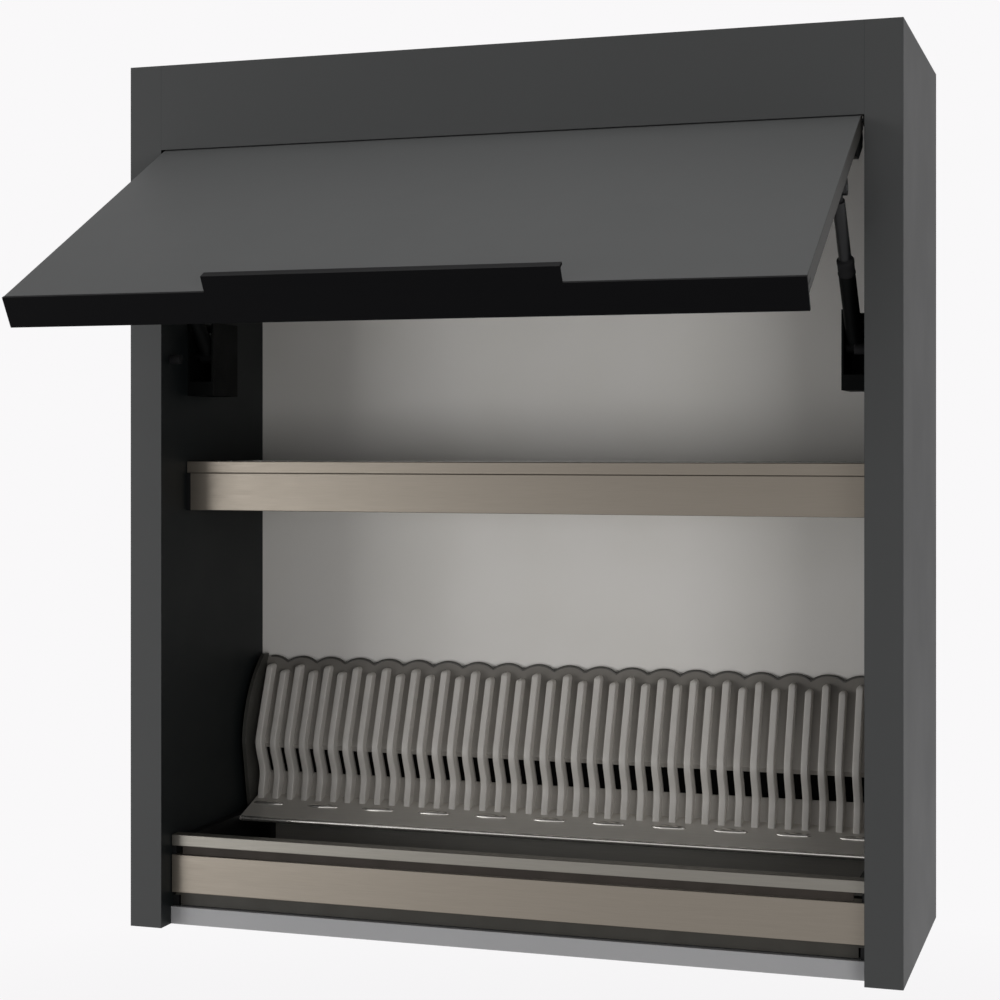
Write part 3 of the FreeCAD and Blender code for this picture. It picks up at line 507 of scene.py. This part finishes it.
def closeTree(tree, geometry, material):
    # real faces that carry their finish, because the export drops instances
    real = addNode(tree, "GeometryNodeRealizeInstances", {0: geometry}).outputs[0]
    dressed = addNode(tree, "GeometryNodeSetMaterial", {"Geometry": real, "Material": material})
    addNode(tree, "NodeGroupOutput", {0: dressed.outputs[0]})
    return tree


def grow(name, tree, values):
    # runs a tree once and keeps what it makes as a plain mesh
    piece = bpy.data.objects.new(name, bpy.data.meshes.new(name + "Seed"))
    collection.objects.link(piece)
    modifier = piece.modifiers.new("grow", "NODES")
    modifier.node_group = tree
    for socket in tree.interface.items_tree:
        if socket.in_out == "INPUT":
            modifier[socket.identifier] = values[socket.name]
    made = piece.evaluated_get(bpy.context.evaluated_depsgraph_get())
    mesh = bpy.data.meshes.new_from_object(made)
    piece.modifiers.remove(modifier)
    piece.data = mesh
    return piece


def discard(*helpers):
    for helper in helpers:
        bpy.data.objects.remove(helper)


def copiesTree():
    # rows and columns of one shape, or of two that take turns along the row
    tree, given = newTree("copies", {
        "Shape": "Object", "Other Shape": "Object", "Across": "Int", "Deep": "Int",
        "Pitch Across": "Float", "Pitch Deep": "Float", "Corner": "Vector", "Finish": "Material",
    })
    number = addNode(tree, "GeometryNodeInputIndex").outputs[0]
    total = addNode(tree, "ShaderNodeMath", {0: given["Across"], 1: given["Deep"]}, operation="MULTIPLY")
    column = addNode(tree, "ShaderNodeMath", {0: number, 1: given["Across"]}, operation="MODULO").outputs[0]
    share = addNode(tree, "ShaderNodeMath", {0: number, 1: given["Across"]}, operation="DIVIDE").outputs[0]
    row = addNode(tree, "ShaderNodeMath", {0: share}, operation="FLOOR").outputs[0]
    pitchX, pitchY = given["Pitch Across"], given["Pitch Deep"]
    x = addNode(tree, "ShaderNodeMath", {0: column, 1: pitchX}, operation="MULTIPLY").outputs[0]
    y = addNode(tree, "ShaderNodeMath", {0: row, 1: pitchY}, operation="MULTIPLY").outputs[0]
    step = addNode(tree, "ShaderNodeCombineXYZ", {"X": x, "Y": y}).outputs[0]
    place = addNode(tree, "ShaderNodeVectorMath", {0: step, 1: given["Corner"]}, operation="ADD").outputs[0]
    points = addNode(tree, "GeometryNodePoints", {"Count": total.outputs[0], "Position": place}).outputs[0]
    odd = addNode(tree, "ShaderNodeMath", {0: column, 1: 2.0}, operation="MODULO").outputs[0]
    even = addNode(tree, "ShaderNodeMath", {0: 1.0, 1: odd}, operation="SUBTRACT").outputs[0]
    joined = addNode(tree, "GeometryNodeJoinGeometry")
    for label, turn in (("Shape", even), ("Other Shape", odd)):
        shape = addNode(tree, "GeometryNodeObjectInfo", {"Object": given[label]}).outputs["Geometry"]
        copies = addNode(tree, "GeometryNodeInstanceOnPoints", {
            "Points": points, "Selection": turn, "Instance": shape,
        })
        tree.links.new(copies.outputs[0], joined.inputs[0])
    return closeTree(tree, joined.outputs[0], given["Finish"])


def beadTree():
    # a round bead along the edges of a path
    tree, given = newTree("bead", {
        "Path": "Object", "Radius": "Float", "Sides": "Int", "Finish": "Material",
    })
    path = addNode(tree, "GeometryNodeObjectInfo", {"Object": given["Path"]}).outputs["Geometry"]
    line = addNode(tree, "GeometryNodeMeshToCurve", {"Mesh": path}).outputs[0]
    ring = addNode(tree, "GeometryNodeCurvePrimitiveCircle", {
        "Resolution": given["Sides"], "Radius": given["Radius"],
    }).outputs[0]
    tube = addNode(tree, "GeometryNodeCurveToMesh", {"Curve": line, "Profile Curve": ring, "Fill Caps": True})
    smooth = addNode(tree, "GeometryNodeSetShadeSmooth", {"Geometry": tube.outputs[0]})
    return closeTree(tree, smooth.outputs[0], given["Finish"])


def screwsTree():
    # a screw at each point of a mesh, its head turned towards the middle of the unit and then tilted
    tree, given = newTree("screws", {
        "Screw": "Object", "Seats": "Object", "Turn": "Float", "Tilt": "Float", "Finish": "Material",
    })
    seats = addNode(tree, "GeometryNodeObjectInfo", {"Object": given["Seats"]}).outputs["Geometry"]
    screw = addNode(tree, "GeometryNodeObjectInfo", {"Object": given["Screw"]}).outputs["Geometry"]
    points = addNode(tree, "GeometryNodeMeshToPoints", {"Mesh": seats}).outputs[0]
    place = addNode(tree, "GeometryNodeInputPosition").outputs[0]
    x = addNode(tree, "ShaderNodeSeparateXYZ", {"Vector": place}).outputs["X"]
    side = addNode(tree, "ShaderNodeMath", {0: x}, operation="SIGN").outputs[0]
    turn = addNode(tree, "ShaderNodeMath", {0: side, 1: given["Turn"]}, operation="MULTIPLY").outputs[0]
    angles = addNode(tree, "ShaderNodeCombineXYZ", {"X": given["Tilt"], "Y": turn}).outputs[0]
    copies = addNode(tree, "GeometryNodeInstanceOnPoints", {
        "Points": points, "Instance": screw, "Rotation": angles,
    })
    return closeTree(tree, copies.outputs[0], given["Finish"])


def pathPiece(points):
    mesh = bpy.data.meshes.new("path")
    mesh.from_pydata(points, [(i, i + 1) for i in range(len(points) - 1)], [])
    piece = bpy.data.objects.new("path", mesh)
    collection.objects.link(piece)
    return piece


copies = copiesTree()
beads = beadTree()
screws = screwsTree()

# The comb that holds the plates: its line, and 40 fins that take turns tall and short.
comb = {
    "line": [(33.0, 106.5), (25.5, 131.0), (41.0, 165.0), (6.0, 254.0)],   # reach, height
    "soften": 9.0,          # how far the fins' fronts round each bend, up and down
    "softSteps": 3,         # samples on each side
    "innerHalf": 364.0,     # from the middle to a side panel
    "gaps": 41,
    "finThickness": 7.5,
    "finReach": 12.0,
    "finRound": 1.3,
    "roundShare": 0.9,      # where a fin is thin, its arris is this share of half its thickness
    "arrisSteps": 3,
    "tipTurn": 72.0,        # how far round the tip goes, in degrees
    "tipSteps": 4,
    "bury": 0.4,            # how far a fin is sunk into the web
    "footBury": 0.5,        # and into the base
    "ringStart": 112.0,
    "ringStep": 5.0,
    "ringGap": 1.0,         # at least, from the last of these rings to the rounded tip
    "tall": 252.0,
    "short": 246.0,
    "baseFront": (87.0, 88.0),
    "arch": 6.3,
    "crest": 260.3,
    "webThickness": 2.5,
    "halfWidth": 352.0,
}
combPitch = 2 * comb["innerHalf"] / comb["gaps"]


def combReach(height):
    line = comb["line"]
    for low, high in zip(line, line[1:]):
        if height <= high[1]:
            break
    return low[0] + (high[0] - low[0]) * (height - low[1]) / (high[1] - low[1])


def softReach(height):
    steps = comb["softSteps"]
    shifts = [comb["soften"] * k / steps for k in range(-steps, steps + 1)]
    return sum(combReach(height + shift) for shift in shifts) / len(shifts)


def baseHeight(reach):
    front, foot = comb["baseFront"], comb["line"][0]
    return front[1] + (foot[1] - front[1]) * (front[0] - reach) / (front[0] - foot[0])


def finRing(height, width, nose, onBase):
    front = softReach(height) + comb["finReach"] - nose
    rear = combReach(height) - comb["bury"]
    corner = min(comb["finRound"], comb["roundShare"] * width)
    outline = [(-width, rear)]
    for step in range(comb["arrisSteps"] + 1):
        angle = math.pi / 2 * step / comb["arrisSteps"]
        outline.append((-width + corner * (1 - math.cos(angle)), front - corner * (1 - math.sin(angle))))
    outline += [(-x, reach) for x, reach in outline[::-1]]
    if onBase:
        return [placed(x, reach, baseHeight(reach) - comb["footBury"]) for x, reach in outline]
    return [placed(x, reach, height) for x, reach in outline]


def finShape(name, top):
    half = comb["finThickness"] / 2
    rings = [finRing(comb["line"][0][1], half, 0, True)]
    height = comb["ringStart"]
    while height < top - half - comb["ringGap"]:
        rings.append(finRing(height, half, 0, False))
        height += comb["ringStep"]
    for step in range(comb["tipSteps"] + 1):
        angle = math.radians(comb["tipTurn"]) * step / comb["tipSteps"]
        width = half * math.cos(angle)
        rings.append(finRing(top - half * (1 - math.sin(angle)), width, half - width, False))
    return newPiece(name, skin(rings), smoothAngle=50)


print("comb: fins, rim, slot lining")
tallFin = finShape("tallFin", comb["tall"])
shortFin = finShape("shortFin", comb["short"])
firstX = (combPitch - comb["innerHalf"]) * mm
dividerFins = grow("dividerFins", copies, {
    "Shape": tallFin, "Other Shape": shortFin, "Across": comb["gaps"] - 1, "Deep": 1,
    "Pitch Across": combPitch * mm, "Pitch Deep": 0.0, "Corner": (firstX, 0.0, 0.0), "Finish": combGrey,
})
discard(tallFin, shortFin)
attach(dividerFins, "plate_rack")
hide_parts("divider_fins")


def archHeight(x):
    # each arch spans two gaps
    pitch, shadeRise = combPitch, comb["arch"]
    radius = (pitch ** 2 + shadeRise ** 2) / (2 * shadeRise)
    off = (x + comb["innerHalf"]) % (2 * pitch) - pitch
    return comb["crest"] - radius + math.sqrt(radius ** 2 - off ** 2)


# A dark bead closes the scalloped top of the web.
rim = {
    "radius": 1.7,
    "sides": 10,
    "steps": comb["gaps"] * 7,
    "endGap": 1.0,
    "sunk": 0.8,
}
rimHalf = comb["halfWidth"] - rim["endGap"]
rimPath = []
for step in range(rim["steps"] + 1):
    x = 2 * rimHalf * step / rim["steps"] - rimHalf
    height = archHeight(x) - rim["sunk"]
    rimPath.append(placed(x, combReach(height) - comb["webThickness"] / 2, height))
rimLine = pathPiece(rimPath)
webRim = grow("webRim", beads, {
    "Path": rimLine, "Radius": rim["radius"] * mm, "Sides": rim["sides"], "Finish": rimGrey,
})
discard(rimLine)
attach(webRim, "plate_rack")

# A black strip behind the slots stands in for the shade behind the web, so that they read as dark openings:
# painted shade.
shadeStrip = {
    "low": 126.0,
    "high": 168.0,
    "gap": 0.3,
    "thickness": 1.0,
    "lip": 1.6,
    "halfWidth": 350.0,
}


def shadeStripRing(x):
    front = comb["webThickness"] + shadeStrip["gap"]
    rear = front + shadeStrip["thickness"]
    heights = (shadeStrip["low"], comb["line"][1][1], comb["line"][2][1], shadeStrip["high"])
    outline = [(combReach(height) - front, height) for height in heights]
    outline += [(combReach(heights[-1]) - rear - shadeStrip["lip"], heights[-1])]
    outline += [(combReach(height) - rear, height) for height in heights[2:0:-1]]
    outline += [(combReach(heights[0]) - rear - shadeStrip["lip"], heights[0])]
    return [placed(x, reach, height) for reach, height in outline]


shadeStripEnds = [shadeStripRing(-shadeStrip["halfWidth"]), shadeStripRing(shadeStrip["halfWidth"])]
slotLining = newPiece("slotLining", skin(shadeStripEnds), shadeStripBlack)
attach(slotLining, "plate_rack")

# The sheet steel base: a rolled front lip and a row of raised drain pips.
base = {
    "lipRadius": 2.9,
    "lipSides": 20,
    "lipReach": 84.4,
    "lipHeight": 86.2,
    "halfWidth": 350.0,
    "pipSize": (19.0, 4.2, 2.6),   # half its length, depth and height
    "pipSides": (20, 12),
    "pipReach": 55.0,
    "pipCount": 11,
    "pipPitch": 66.2,
}
print("comb: base")
lipCorners = [placed(x, base["lipReach"], base["lipHeight"]) for x in (-base["halfWidth"], base["halfWidth"])]
lipLine = pathPiece(lipCorners)
baseLip = grow("baseLip", beads, {
    "Path": lipLine, "Radius": base["lipRadius"] * mm, "Sides": base["lipSides"], "Finish": pipPolish,
})
discard(lipLine)
slope = math.atan2(comb["line"][0][1] - comb["baseFront"][1], comb["baseFront"][0] - comb["line"][0][0])
around, up = base["pipSides"]
lens = bmesh.new()
bmesh.ops.create_uvsphere(lens, u_segments=around, v_segments=up, radius=mm)
for vertex in lens.verts:
    x, y, z = (value * size for value, size in zip(vertex.co, base["pipSize"]))
    vertex.co = (x, y * math.cos(slope) - z * math.sin(slope), y * math.sin(slope) + z * math.cos(slope))
pip = newPiece("pip", lens, smoothAngle=80)
firstPipX = -base["pipPitch"] * (base["pipCount"] - 1) / 2
firstPip = placed(firstPipX, base["pipReach"], baseHeight(base["pipReach"]))
drainPips = grow("drainPips", copies, {
    "Shape": pip, "Other Shape": pip, "Across": base["pipCount"], "Deep": 1,
    "Pitch Across": base["pipPitch"] * mm, "Pitch Deep": 0.0, "Corner": firstPip, "Finish": pipPolish,
})
discard(pip)
for piece in (baseLip, drainPips):
    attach(piece, "plate_rack")

# A brown elastomer skirt hangs from the front rail and hides the gap above the profile; its brown is painted
# shade, matched to the shade in that gap.
skirt = {
    "setBack": 1.5,
    "overlap": 1.0,
    "thickness": 1.6,
    "drop": 8.2,
    "flare": 0.8,
    "halfWidth": 351.0,
}


def skirtRing(x):
    low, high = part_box("rack_front_rail")
    front = low.y + skirt["setBack"] * mm
    rear = front + skirt["thickness"] * mm
    top, bottom = low.z + skirt["overlap"] * mm, low.z - skirt["drop"] * mm
    flare = skirt["flare"] * mm
    return [Vector((x * mm, y, z)) for y, z in (
        (front, top), (front, bottom + 2 * flare), (front - flare, bottom), (rear - flare, bottom),
        (rear, bottom + 2 * flare), (rear, top),
    )]


print("rail skirt")
skirtEnds = [skirtRing(-skirt["halfWidth"]), skirtRing(skirt["halfWidth"])]
railSkirt = newPiece("railSkirt", skin(skirtEnds), skirtShadeBrown)
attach(railSkirt, "plate_rack")

# Glass grid: a weld nugget at every crossing, and rounded ends on the cross wires.
grid = {
    "across": 44,
    "pitch": 16.0,
    "crossRadius": 2.0,
    "overhang": 4.0,
    "nugget": (2.6, 2.9, 1.3),
    "tip": (1.96, 1.2, 1.96),
    "sides": (10, 6),
}


def pebble(name, size):
    around, up = grid["sides"]
    shape = bmesh.new()
    bmesh.ops.create_uvsphere(shape, u_segments=around, v_segments=up, radius=mm)
    for vertex in shape.verts:
        vertex.co = [value * part for value, part in zip(vertex.co, size)]
    return newPiece(name, shape, smoothAngle=80)


print("glass grid")
gridLow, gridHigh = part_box("glass_grid")
gridX = -grid["pitch"] * (grid["across"] - 1) / 2 * mm
crossZ = gridHigh.z - grid["crossRadius"] * mm
for name, size, deep, inset, drop in (
    ("gridWelds", grid["nugget"], 3, grid["overhang"] * mm, grid["crossRadius"] * mm),
    ("gridTips", grid["tip"], 2, 0.0, 0.0),
):
    unit = pebble(name + "Unit", size)
    frontY, rearY = gridLow.y + inset, gridHigh.y - inset
    piece = grow(name, copies, {
        "Shape": unit, "Other Shape": unit, "Across": grid["across"], "Deep": deep,
        "Pitch Across": grid["pitch"] * mm, "Pitch Deep": (rearY - frontY) / (deep - 1),
        "Corner": (gridX, frontY, crossZ - drop), "Finish": stainless,
    })
    discard(unit)
    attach(piece, "glass_grid")

# Ribs that stiffen the tray floors and lead the water.
ribs = {
    "pitch": 24.0,
    "width": 3.0,
    "shadeRise": 1.0,
    "sideGap": 28.0,        # at least, from the outer ribs to the tray's sides
    "endGap": {"upper_tray": 30.0, "drip_tray": 14.0},   # from a rib's ends to the tray's front and rear
    "wall": 2.0,            # thickness of a tray's floor
    "bury": 0.1,
    "taper": [(0.0, 0.15), (2.0, 0.7), (5.0, 1.0)],   # distance from the end, share of the full section
    "steps": 6,
}


def ribShape(y0, y1, z):
    half, shadeRise = ribs["width"] / 2 * mm, ribs["shadeRise"] * mm
    stations = [(y0 + along * mm, share) for along, share in ribs["taper"]]
    stations += [(y1 - along * mm, share) for along, share in ribs["taper"][::-1]]
    rings = []
    for y, share in stations:
        outline = []
        for k in range(ribs["steps"] + 1):
            angle = math.pi * k / ribs["steps"]
            outline.append(Vector((half * share * math.cos(angle), y, z + shadeRise * share * math.sin(angle))))
        rings.append(outline)
    return newPiece("rib", skin(rings), smoothAngle=60)


print("tray ribs")
for node, gap in ribs["endGap"].items():
    low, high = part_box(node)
    rib = ribShape(low.y + gap * mm, high.y - gap * mm, low.z + (ribs["wall"] - ribs["bury"]) * mm)
    count = int((high.x - low.x - 2 * ribs["sideGap"] * mm) / (ribs["pitch"] * mm)) + 1
    piece = grow(node + "Ribs", copies, {
        "Shape": rib, "Other Shape": rib, "Across": count, "Deep": 1, "Pitch Across": ribs["pitch"] * mm,
        "Pitch Deep": 0.0, "Corner": (-ribs["pitch"] * (count - 1) / 2 * mm, 0.0, 0.0), "Finish": traySmoke,
    })
    discard(rib)
    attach(piece, node)

# Cross-recessed pan-head screws.
screw = {
    "headRadius": 4.0,
    "headHeight": 1.8,
    "shank": 2.0,
    "length": 14.0,
    "recess": 2.3,
    "recessWidth": 0.75,
    "recessDepth": 1.3,
    "recessFoot": 0.55,     # its width at the bottom as a share of that at the top
    "cutAbove": 0.4,        # how far the cutter stands above the head
    "point": (0.3, 2.0),    # radius and length of the tip
    "dome": [(1.0, 0.5), (0.9, 0.78), (0.7, 0.93), (0.4, 1.0)],   # shares of the head's radius and height
    "sides": 24,
    "flapSpacing": 15.5,    # from the middle of a bracket to each of its screws
}


def screwShape():
    head, shadeRise = screw["headRadius"], screw["headHeight"]
    pointRadius, pointLength = screw["point"]
    profile = [(pointRadius, -screw["length"]), (screw["shank"], pointLength - screw["length"])]
    profile += [(screw["shank"], 0), (head, 0)]
    profile += [(radius * head, height * shadeRise) for radius, height in screw["dome"]]
    piece = newPiece("screw", skin(turned(profile, screw["sides"])))
    arm, half, top = screw["recess"], screw["recessWidth"] / 2, shadeRise + screw["cutAbove"]
    cross = [(arm, -half), (arm, half), (half, half), (half, arm), (-half, arm), (-half, half),
             (-arm, half), (-arm, -half), (-half, -half), (-half, -arm), (half, -arm), (half, -half)]
    rings = []
    for share, z in ((screw["recessFoot"], shadeRise - screw["recessDepth"]), (1.0, top)):
        rings.append([Vector((x * share, y * share, z)) * mm for x, y in cross])
    cutter = newPiece("cutter", skin(rings))
    cut = piece.modifiers.new("recess", "BOOLEAN")
    cut.object = cutter
    made = piece.evaluated_get(bpy.context.evaluated_depsgraph_get())
    mesh = bpy.data.meshes.new_from_object(made)
    piece.modifiers.remove(cut)
    piece.data = mesh
    discard(cutter)
    return piece


def seatsFromBox(node):
    # under the heads of a row of side screws, from the box that the row fills
    low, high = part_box(node)
    inset = screw["headRadius"] * mm
    seats = []
    for x in (low.x + screw["length"] * mm, high.x - screw["length"] * mm):
        for y in {round(low.y + inset, 4), round(high.y - inset, 4)}:
            for z in {round(low.z + inset, 4), round(high.z - inset, 4)}:
                seats.append((x, y, z))
    return seats


print("screws")
screwUnit = screwShape()
sideNodes = ["upper_bracket_screws", "lower_bracket_screws", "strut_base_screws"]
sideSeats = pathPiece([seat for node in sideNodes for seat in seatsFromBox(node)])
hinge = next(joint for joint in frame["joints"] if joint["name"] == "flap_hinge")
openAngle = math.radians(hinge["range_deg"][1])
# from the open flap into the cabinet, and down along it
inwards = Vector((0, math.cos(openAngle), -math.sin(openAngle)))
down = Vector((0, -math.sin(openAngle), -math.cos(openAngle)))
low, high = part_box("flap_screws")
middle = (low + high) / 2 + inwards * (screw["length"] - screw["headHeight"]) / 2 * mm
flapSeats = []
for x in (low.x, high.x):
    inset = math.copysign(screw["headRadius"] * mm, x)
    for side in (-1, 1):
        seat = middle + down * side * screw["flapSpacing"] * mm
        flapSeats.append((x - inset, seat.y, seat.z))
flapSeatPiece = pathPiece(flapSeats)
sideScrews = grow("sideScrews", screws, {
    "Screw": screwUnit, "Seats": sideSeats, "Turn": -math.pi / 2, "Tilt": 0.0, "Finish": zincSteel,
})
flapScrews = grow("flapScrews", screws, {
    "Screw": screwUnit, "Seats": flapSeatPiece, "Turn": 0.0, "Tilt": -math.pi / 2 - openAngle,
    "Finish": zincSteel,
})
discard(screwUnit, sideSeats, flapSeatPiece)
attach(sideScrews, "cabinet")
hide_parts(*sideNodes)
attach(flapScrews, "flap")
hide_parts("flap_screws")

# A lip under the fascia follows the swing of the flap's top edge and closes the gap above it.
lip = {
    "swingGap": 0.5,        # between the fascia and the swing of the flap
    "clearance": 0.35,      # between the swing and the lip
    "depth": 4.0,
    "proud": 0.03,
    "sunk": 0.3,
    "steps": 9,
}
print("fascia lip")
hingePlace = Vector(hinge["pos_m"])
fasciaLow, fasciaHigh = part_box("top_fascia")
swing = fasciaLow.z - hingePlace.z - lip["swingGap"] * mm + lip["clearance"] * mm
lipFront = fasciaLow.y - lip["proud"] * mm
lipTop = fasciaLow.z + lip["sunk"] * mm
lipSection = [(lipFront + lip["depth"] * mm, lipTop), (lipFront, lipTop)]
for step in range(lip["steps"]):
    y = lipFront + lip["depth"] * step / (lip["steps"] - 1) * mm
    reach = y - hingePlace.y
    lipSection.append((y, hingePlace.z + math.sqrt(swing ** 2 - reach ** 2)))
lipEnds = [[Vector((x, y, z)) for y, z in lipSection] for x in (fasciaLow.x, fasciaHigh.x)]
fasciaLip = newPiece("fasciaLip", skin(lipEnds), boardOutside)
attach(fasciaLip, "cabinet")

# Black arms stand on the back of the flap beside its pivots.
arm = {
    # inwards from the pivot and down along the flap
    "outline": [(10.0, -1.0), (18.0, -1.0), (24.0, 6.0), (24.0, 36.0), (17.0, 46.0), (10.0, 46.0)],
    "inner": 355.5,         # from the middle of the unit
    "outer": 360.7,
}
print("hinge arms")
for side, sign in (("left", -1), ("right", 1)):
    ends = []
    for x in (arm["inner"], arm["outer"]):
        flat = Vector((sign * x * mm, hingePlace.y, hingePlace.z))
        ends.append([flat + inwards * inside * mm + down * along * mm for inside, along in arm["outline"]])
    piece = newPiece(side + "HingeArm", skin(ends), strutBlack)
    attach(piece, "flap")

# Wiper seal and crimp at the mouth of each gas strut.
seal = {
    "foot": (345.5, -225.0, -220.0),   # of the right strut, in the shared frame
    "mouth": 103.0,         # from the foot along the strut
    "sides": 32,
    # radius, and height above the mouth
    "profile": [
        (8.05, -16.0), (8.45, -15.4), (8.45, -13.4), (8.05, -12.8), (8.05, -4.0), (8.3, -3.2),
        (8.3, 0.3), (7.7, 1.2), (6.9, 1.6), (6.4, 2.6), (6.15, 2.6), (6.15, -1.0), (7.9, -1.0), (7.9, -16.0),
    ],
}
print("strut seals")
for side, sign in (("left", -1), ("right", 1)):
    slide = next(joint for joint in frame["joints"] if joint["name"] == side + "_strut_slide")
    axis = Vector(slide["axis"])
    x, y, z = seal["foot"]
    mouth = Vector((sign * x, y, z)) * mm + axis * seal["mouth"] * mm
    aim = axis.to_track_quat("Z", "X")
    rings = []
    for k in range(seal["sides"]):
        angle = 2 * math.pi * k / seal["sides"]
        ring = []
        for radius, height in seal["profile"]:
            point = Vector((radius * math.cos(angle), radius * math.sin(angle), height)) * mm
            ring.append(mouth + aim @ point)
        rings.append(ring)
    piece = newPiece(side + "StrutSeal", skin(rings, closed=True), rubberBlack)
    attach(piece, side + "_cylinder")


def addPlane(name, size, z, material):
    half = size / 2
    mesh = bpy.data.meshes.new(name)
    corners = [(-half, -half, z), (half, -half, z), (half, half, z), (-half, half, z)]
    mesh.from_pydata(corners, [], [(0, 1, 2, 3)])
    mesh.materials.append(material)
    plane = bpy.data.objects.new(name, mesh)
    collection.objects.link(plane)
    return plane


def paperMaterial():
    # paper that the camera and mirrors see as nearly white; it takes shadow under the unit
    material, tree, shader, where = newMaterial("whitePaper")
    shader.inputs["Base Color"].default_value = linear(stage["paper"])
    shader.inputs["Roughness"].default_value = stage["roughness"]
    rays = addNode(tree, "ShaderNodeLightPath")
    seen = addNode(tree, "ShaderNodeMath", {
        0: rays.outputs["Is Camera Ray"], 1: rays.outputs["Is Glossy Ray"],
    }, operation="MAXIMUM").outputs[0]
    away = addNode(tree, "ShaderNodeVectorMath", {0: where, 1: (1, 1, 0)}, operation="MULTIPLY").outputs[0]
    far = addNode(tree, "ShaderNodeVectorMath", {0: away}, operation="LENGTH").outputs["Value"]
    own = setRange(tree, far, stage["glow"], 1.0, *stage["fade"])
    share = addNode(tree, "ShaderNodeMath", {0: seen, 1: own}, operation="MULTIPLY").outputs[0]
    glow = addNode(tree, "ShaderNodeEmission", {"Color": linear(stage["paper"]), "Strength": 1.0})
    both = addNode(tree, "ShaderNodeMixShader", {
        0: share, 1: shader.outputs["BSDF"], 2: glow.outputs["Emission"],
    })
    output = next(node for node in tree.nodes if node.bl_idname == "ShaderNodeOutputMaterial")
    tree.links.new(both.outputs[0], output.inputs["Surface"])
    return material


print("floor, camera and lights")
floor = addPlane("floor", stage["floorSize"], cadBox[0][2] - stage["floorDrop"], paperMaterial())

cameraData = bpy.data.cameras.new("camera")
cameraData.lens = camera["lens"]
cameraData.sensor_width = camera["sensor"]
cameraData.shift_y = camera["shiftY"]
cameraObject = bpy.data.objects.new("camera", cameraData)
cameraObject.location = camera["place"]
cameraObject.rotation_euler = (math.radians(90), 0, math.radians(camera["turnLeft"]))
collection.objects.link(cameraObject)
bpy.context.scene.camera = cameraObject

for name, (place, aim, size, watts, tint) in lights.items():
    lamp = bpy.data.lights.new(name, "AREA")
    lamp.size = size
    lamp.energy = watts
    lamp.color = linear(tint)[:3]
    lampObject = bpy.data.objects.new(name, lamp)
    lampObject.location = place
    lampObject.rotation_euler = (Vector(aim) - Vector(place)).to_track_quat("-Z", "Y").to_euler()
    collection.objects.link(lampObject)

world = bpy.data.worlds.new("studio")
bpy.context.scene.world = world
world.use_nodes = True
tree = world.node_tree
tree.nodes.clear()
rays = addNode(tree, "ShaderNodeLightPath")
seen = addNode(tree, "ShaderNodeMath", {
    0: rays.outputs["Is Glossy Ray"], 1: rays.outputs["Is Transmission Ray"],
}, operation="MAXIMUM").outputs[0]
level = addNode(tree, "ShaderNodeMapRange", {
    "Value": seen, "To Min": worldDiffuse, "To Max": worldGlossy,
}).outputs["Result"]
strength = addNode(tree, "ShaderNodeMath", {
    0: level, 1: rays.outputs["Is Camera Ray"],
}, operation="MAXIMUM").outputs[0]
background = addNode(tree, "ShaderNodeBackground", {
    "Color": linear(stage["paper"]), "Strength": strength,
})
addNode(tree, "ShaderNodeOutputWorld", {"Surface": background.outputs["Background"]})

scene = bpy.context.scene
scene.view_settings.view_transform = "Standard"
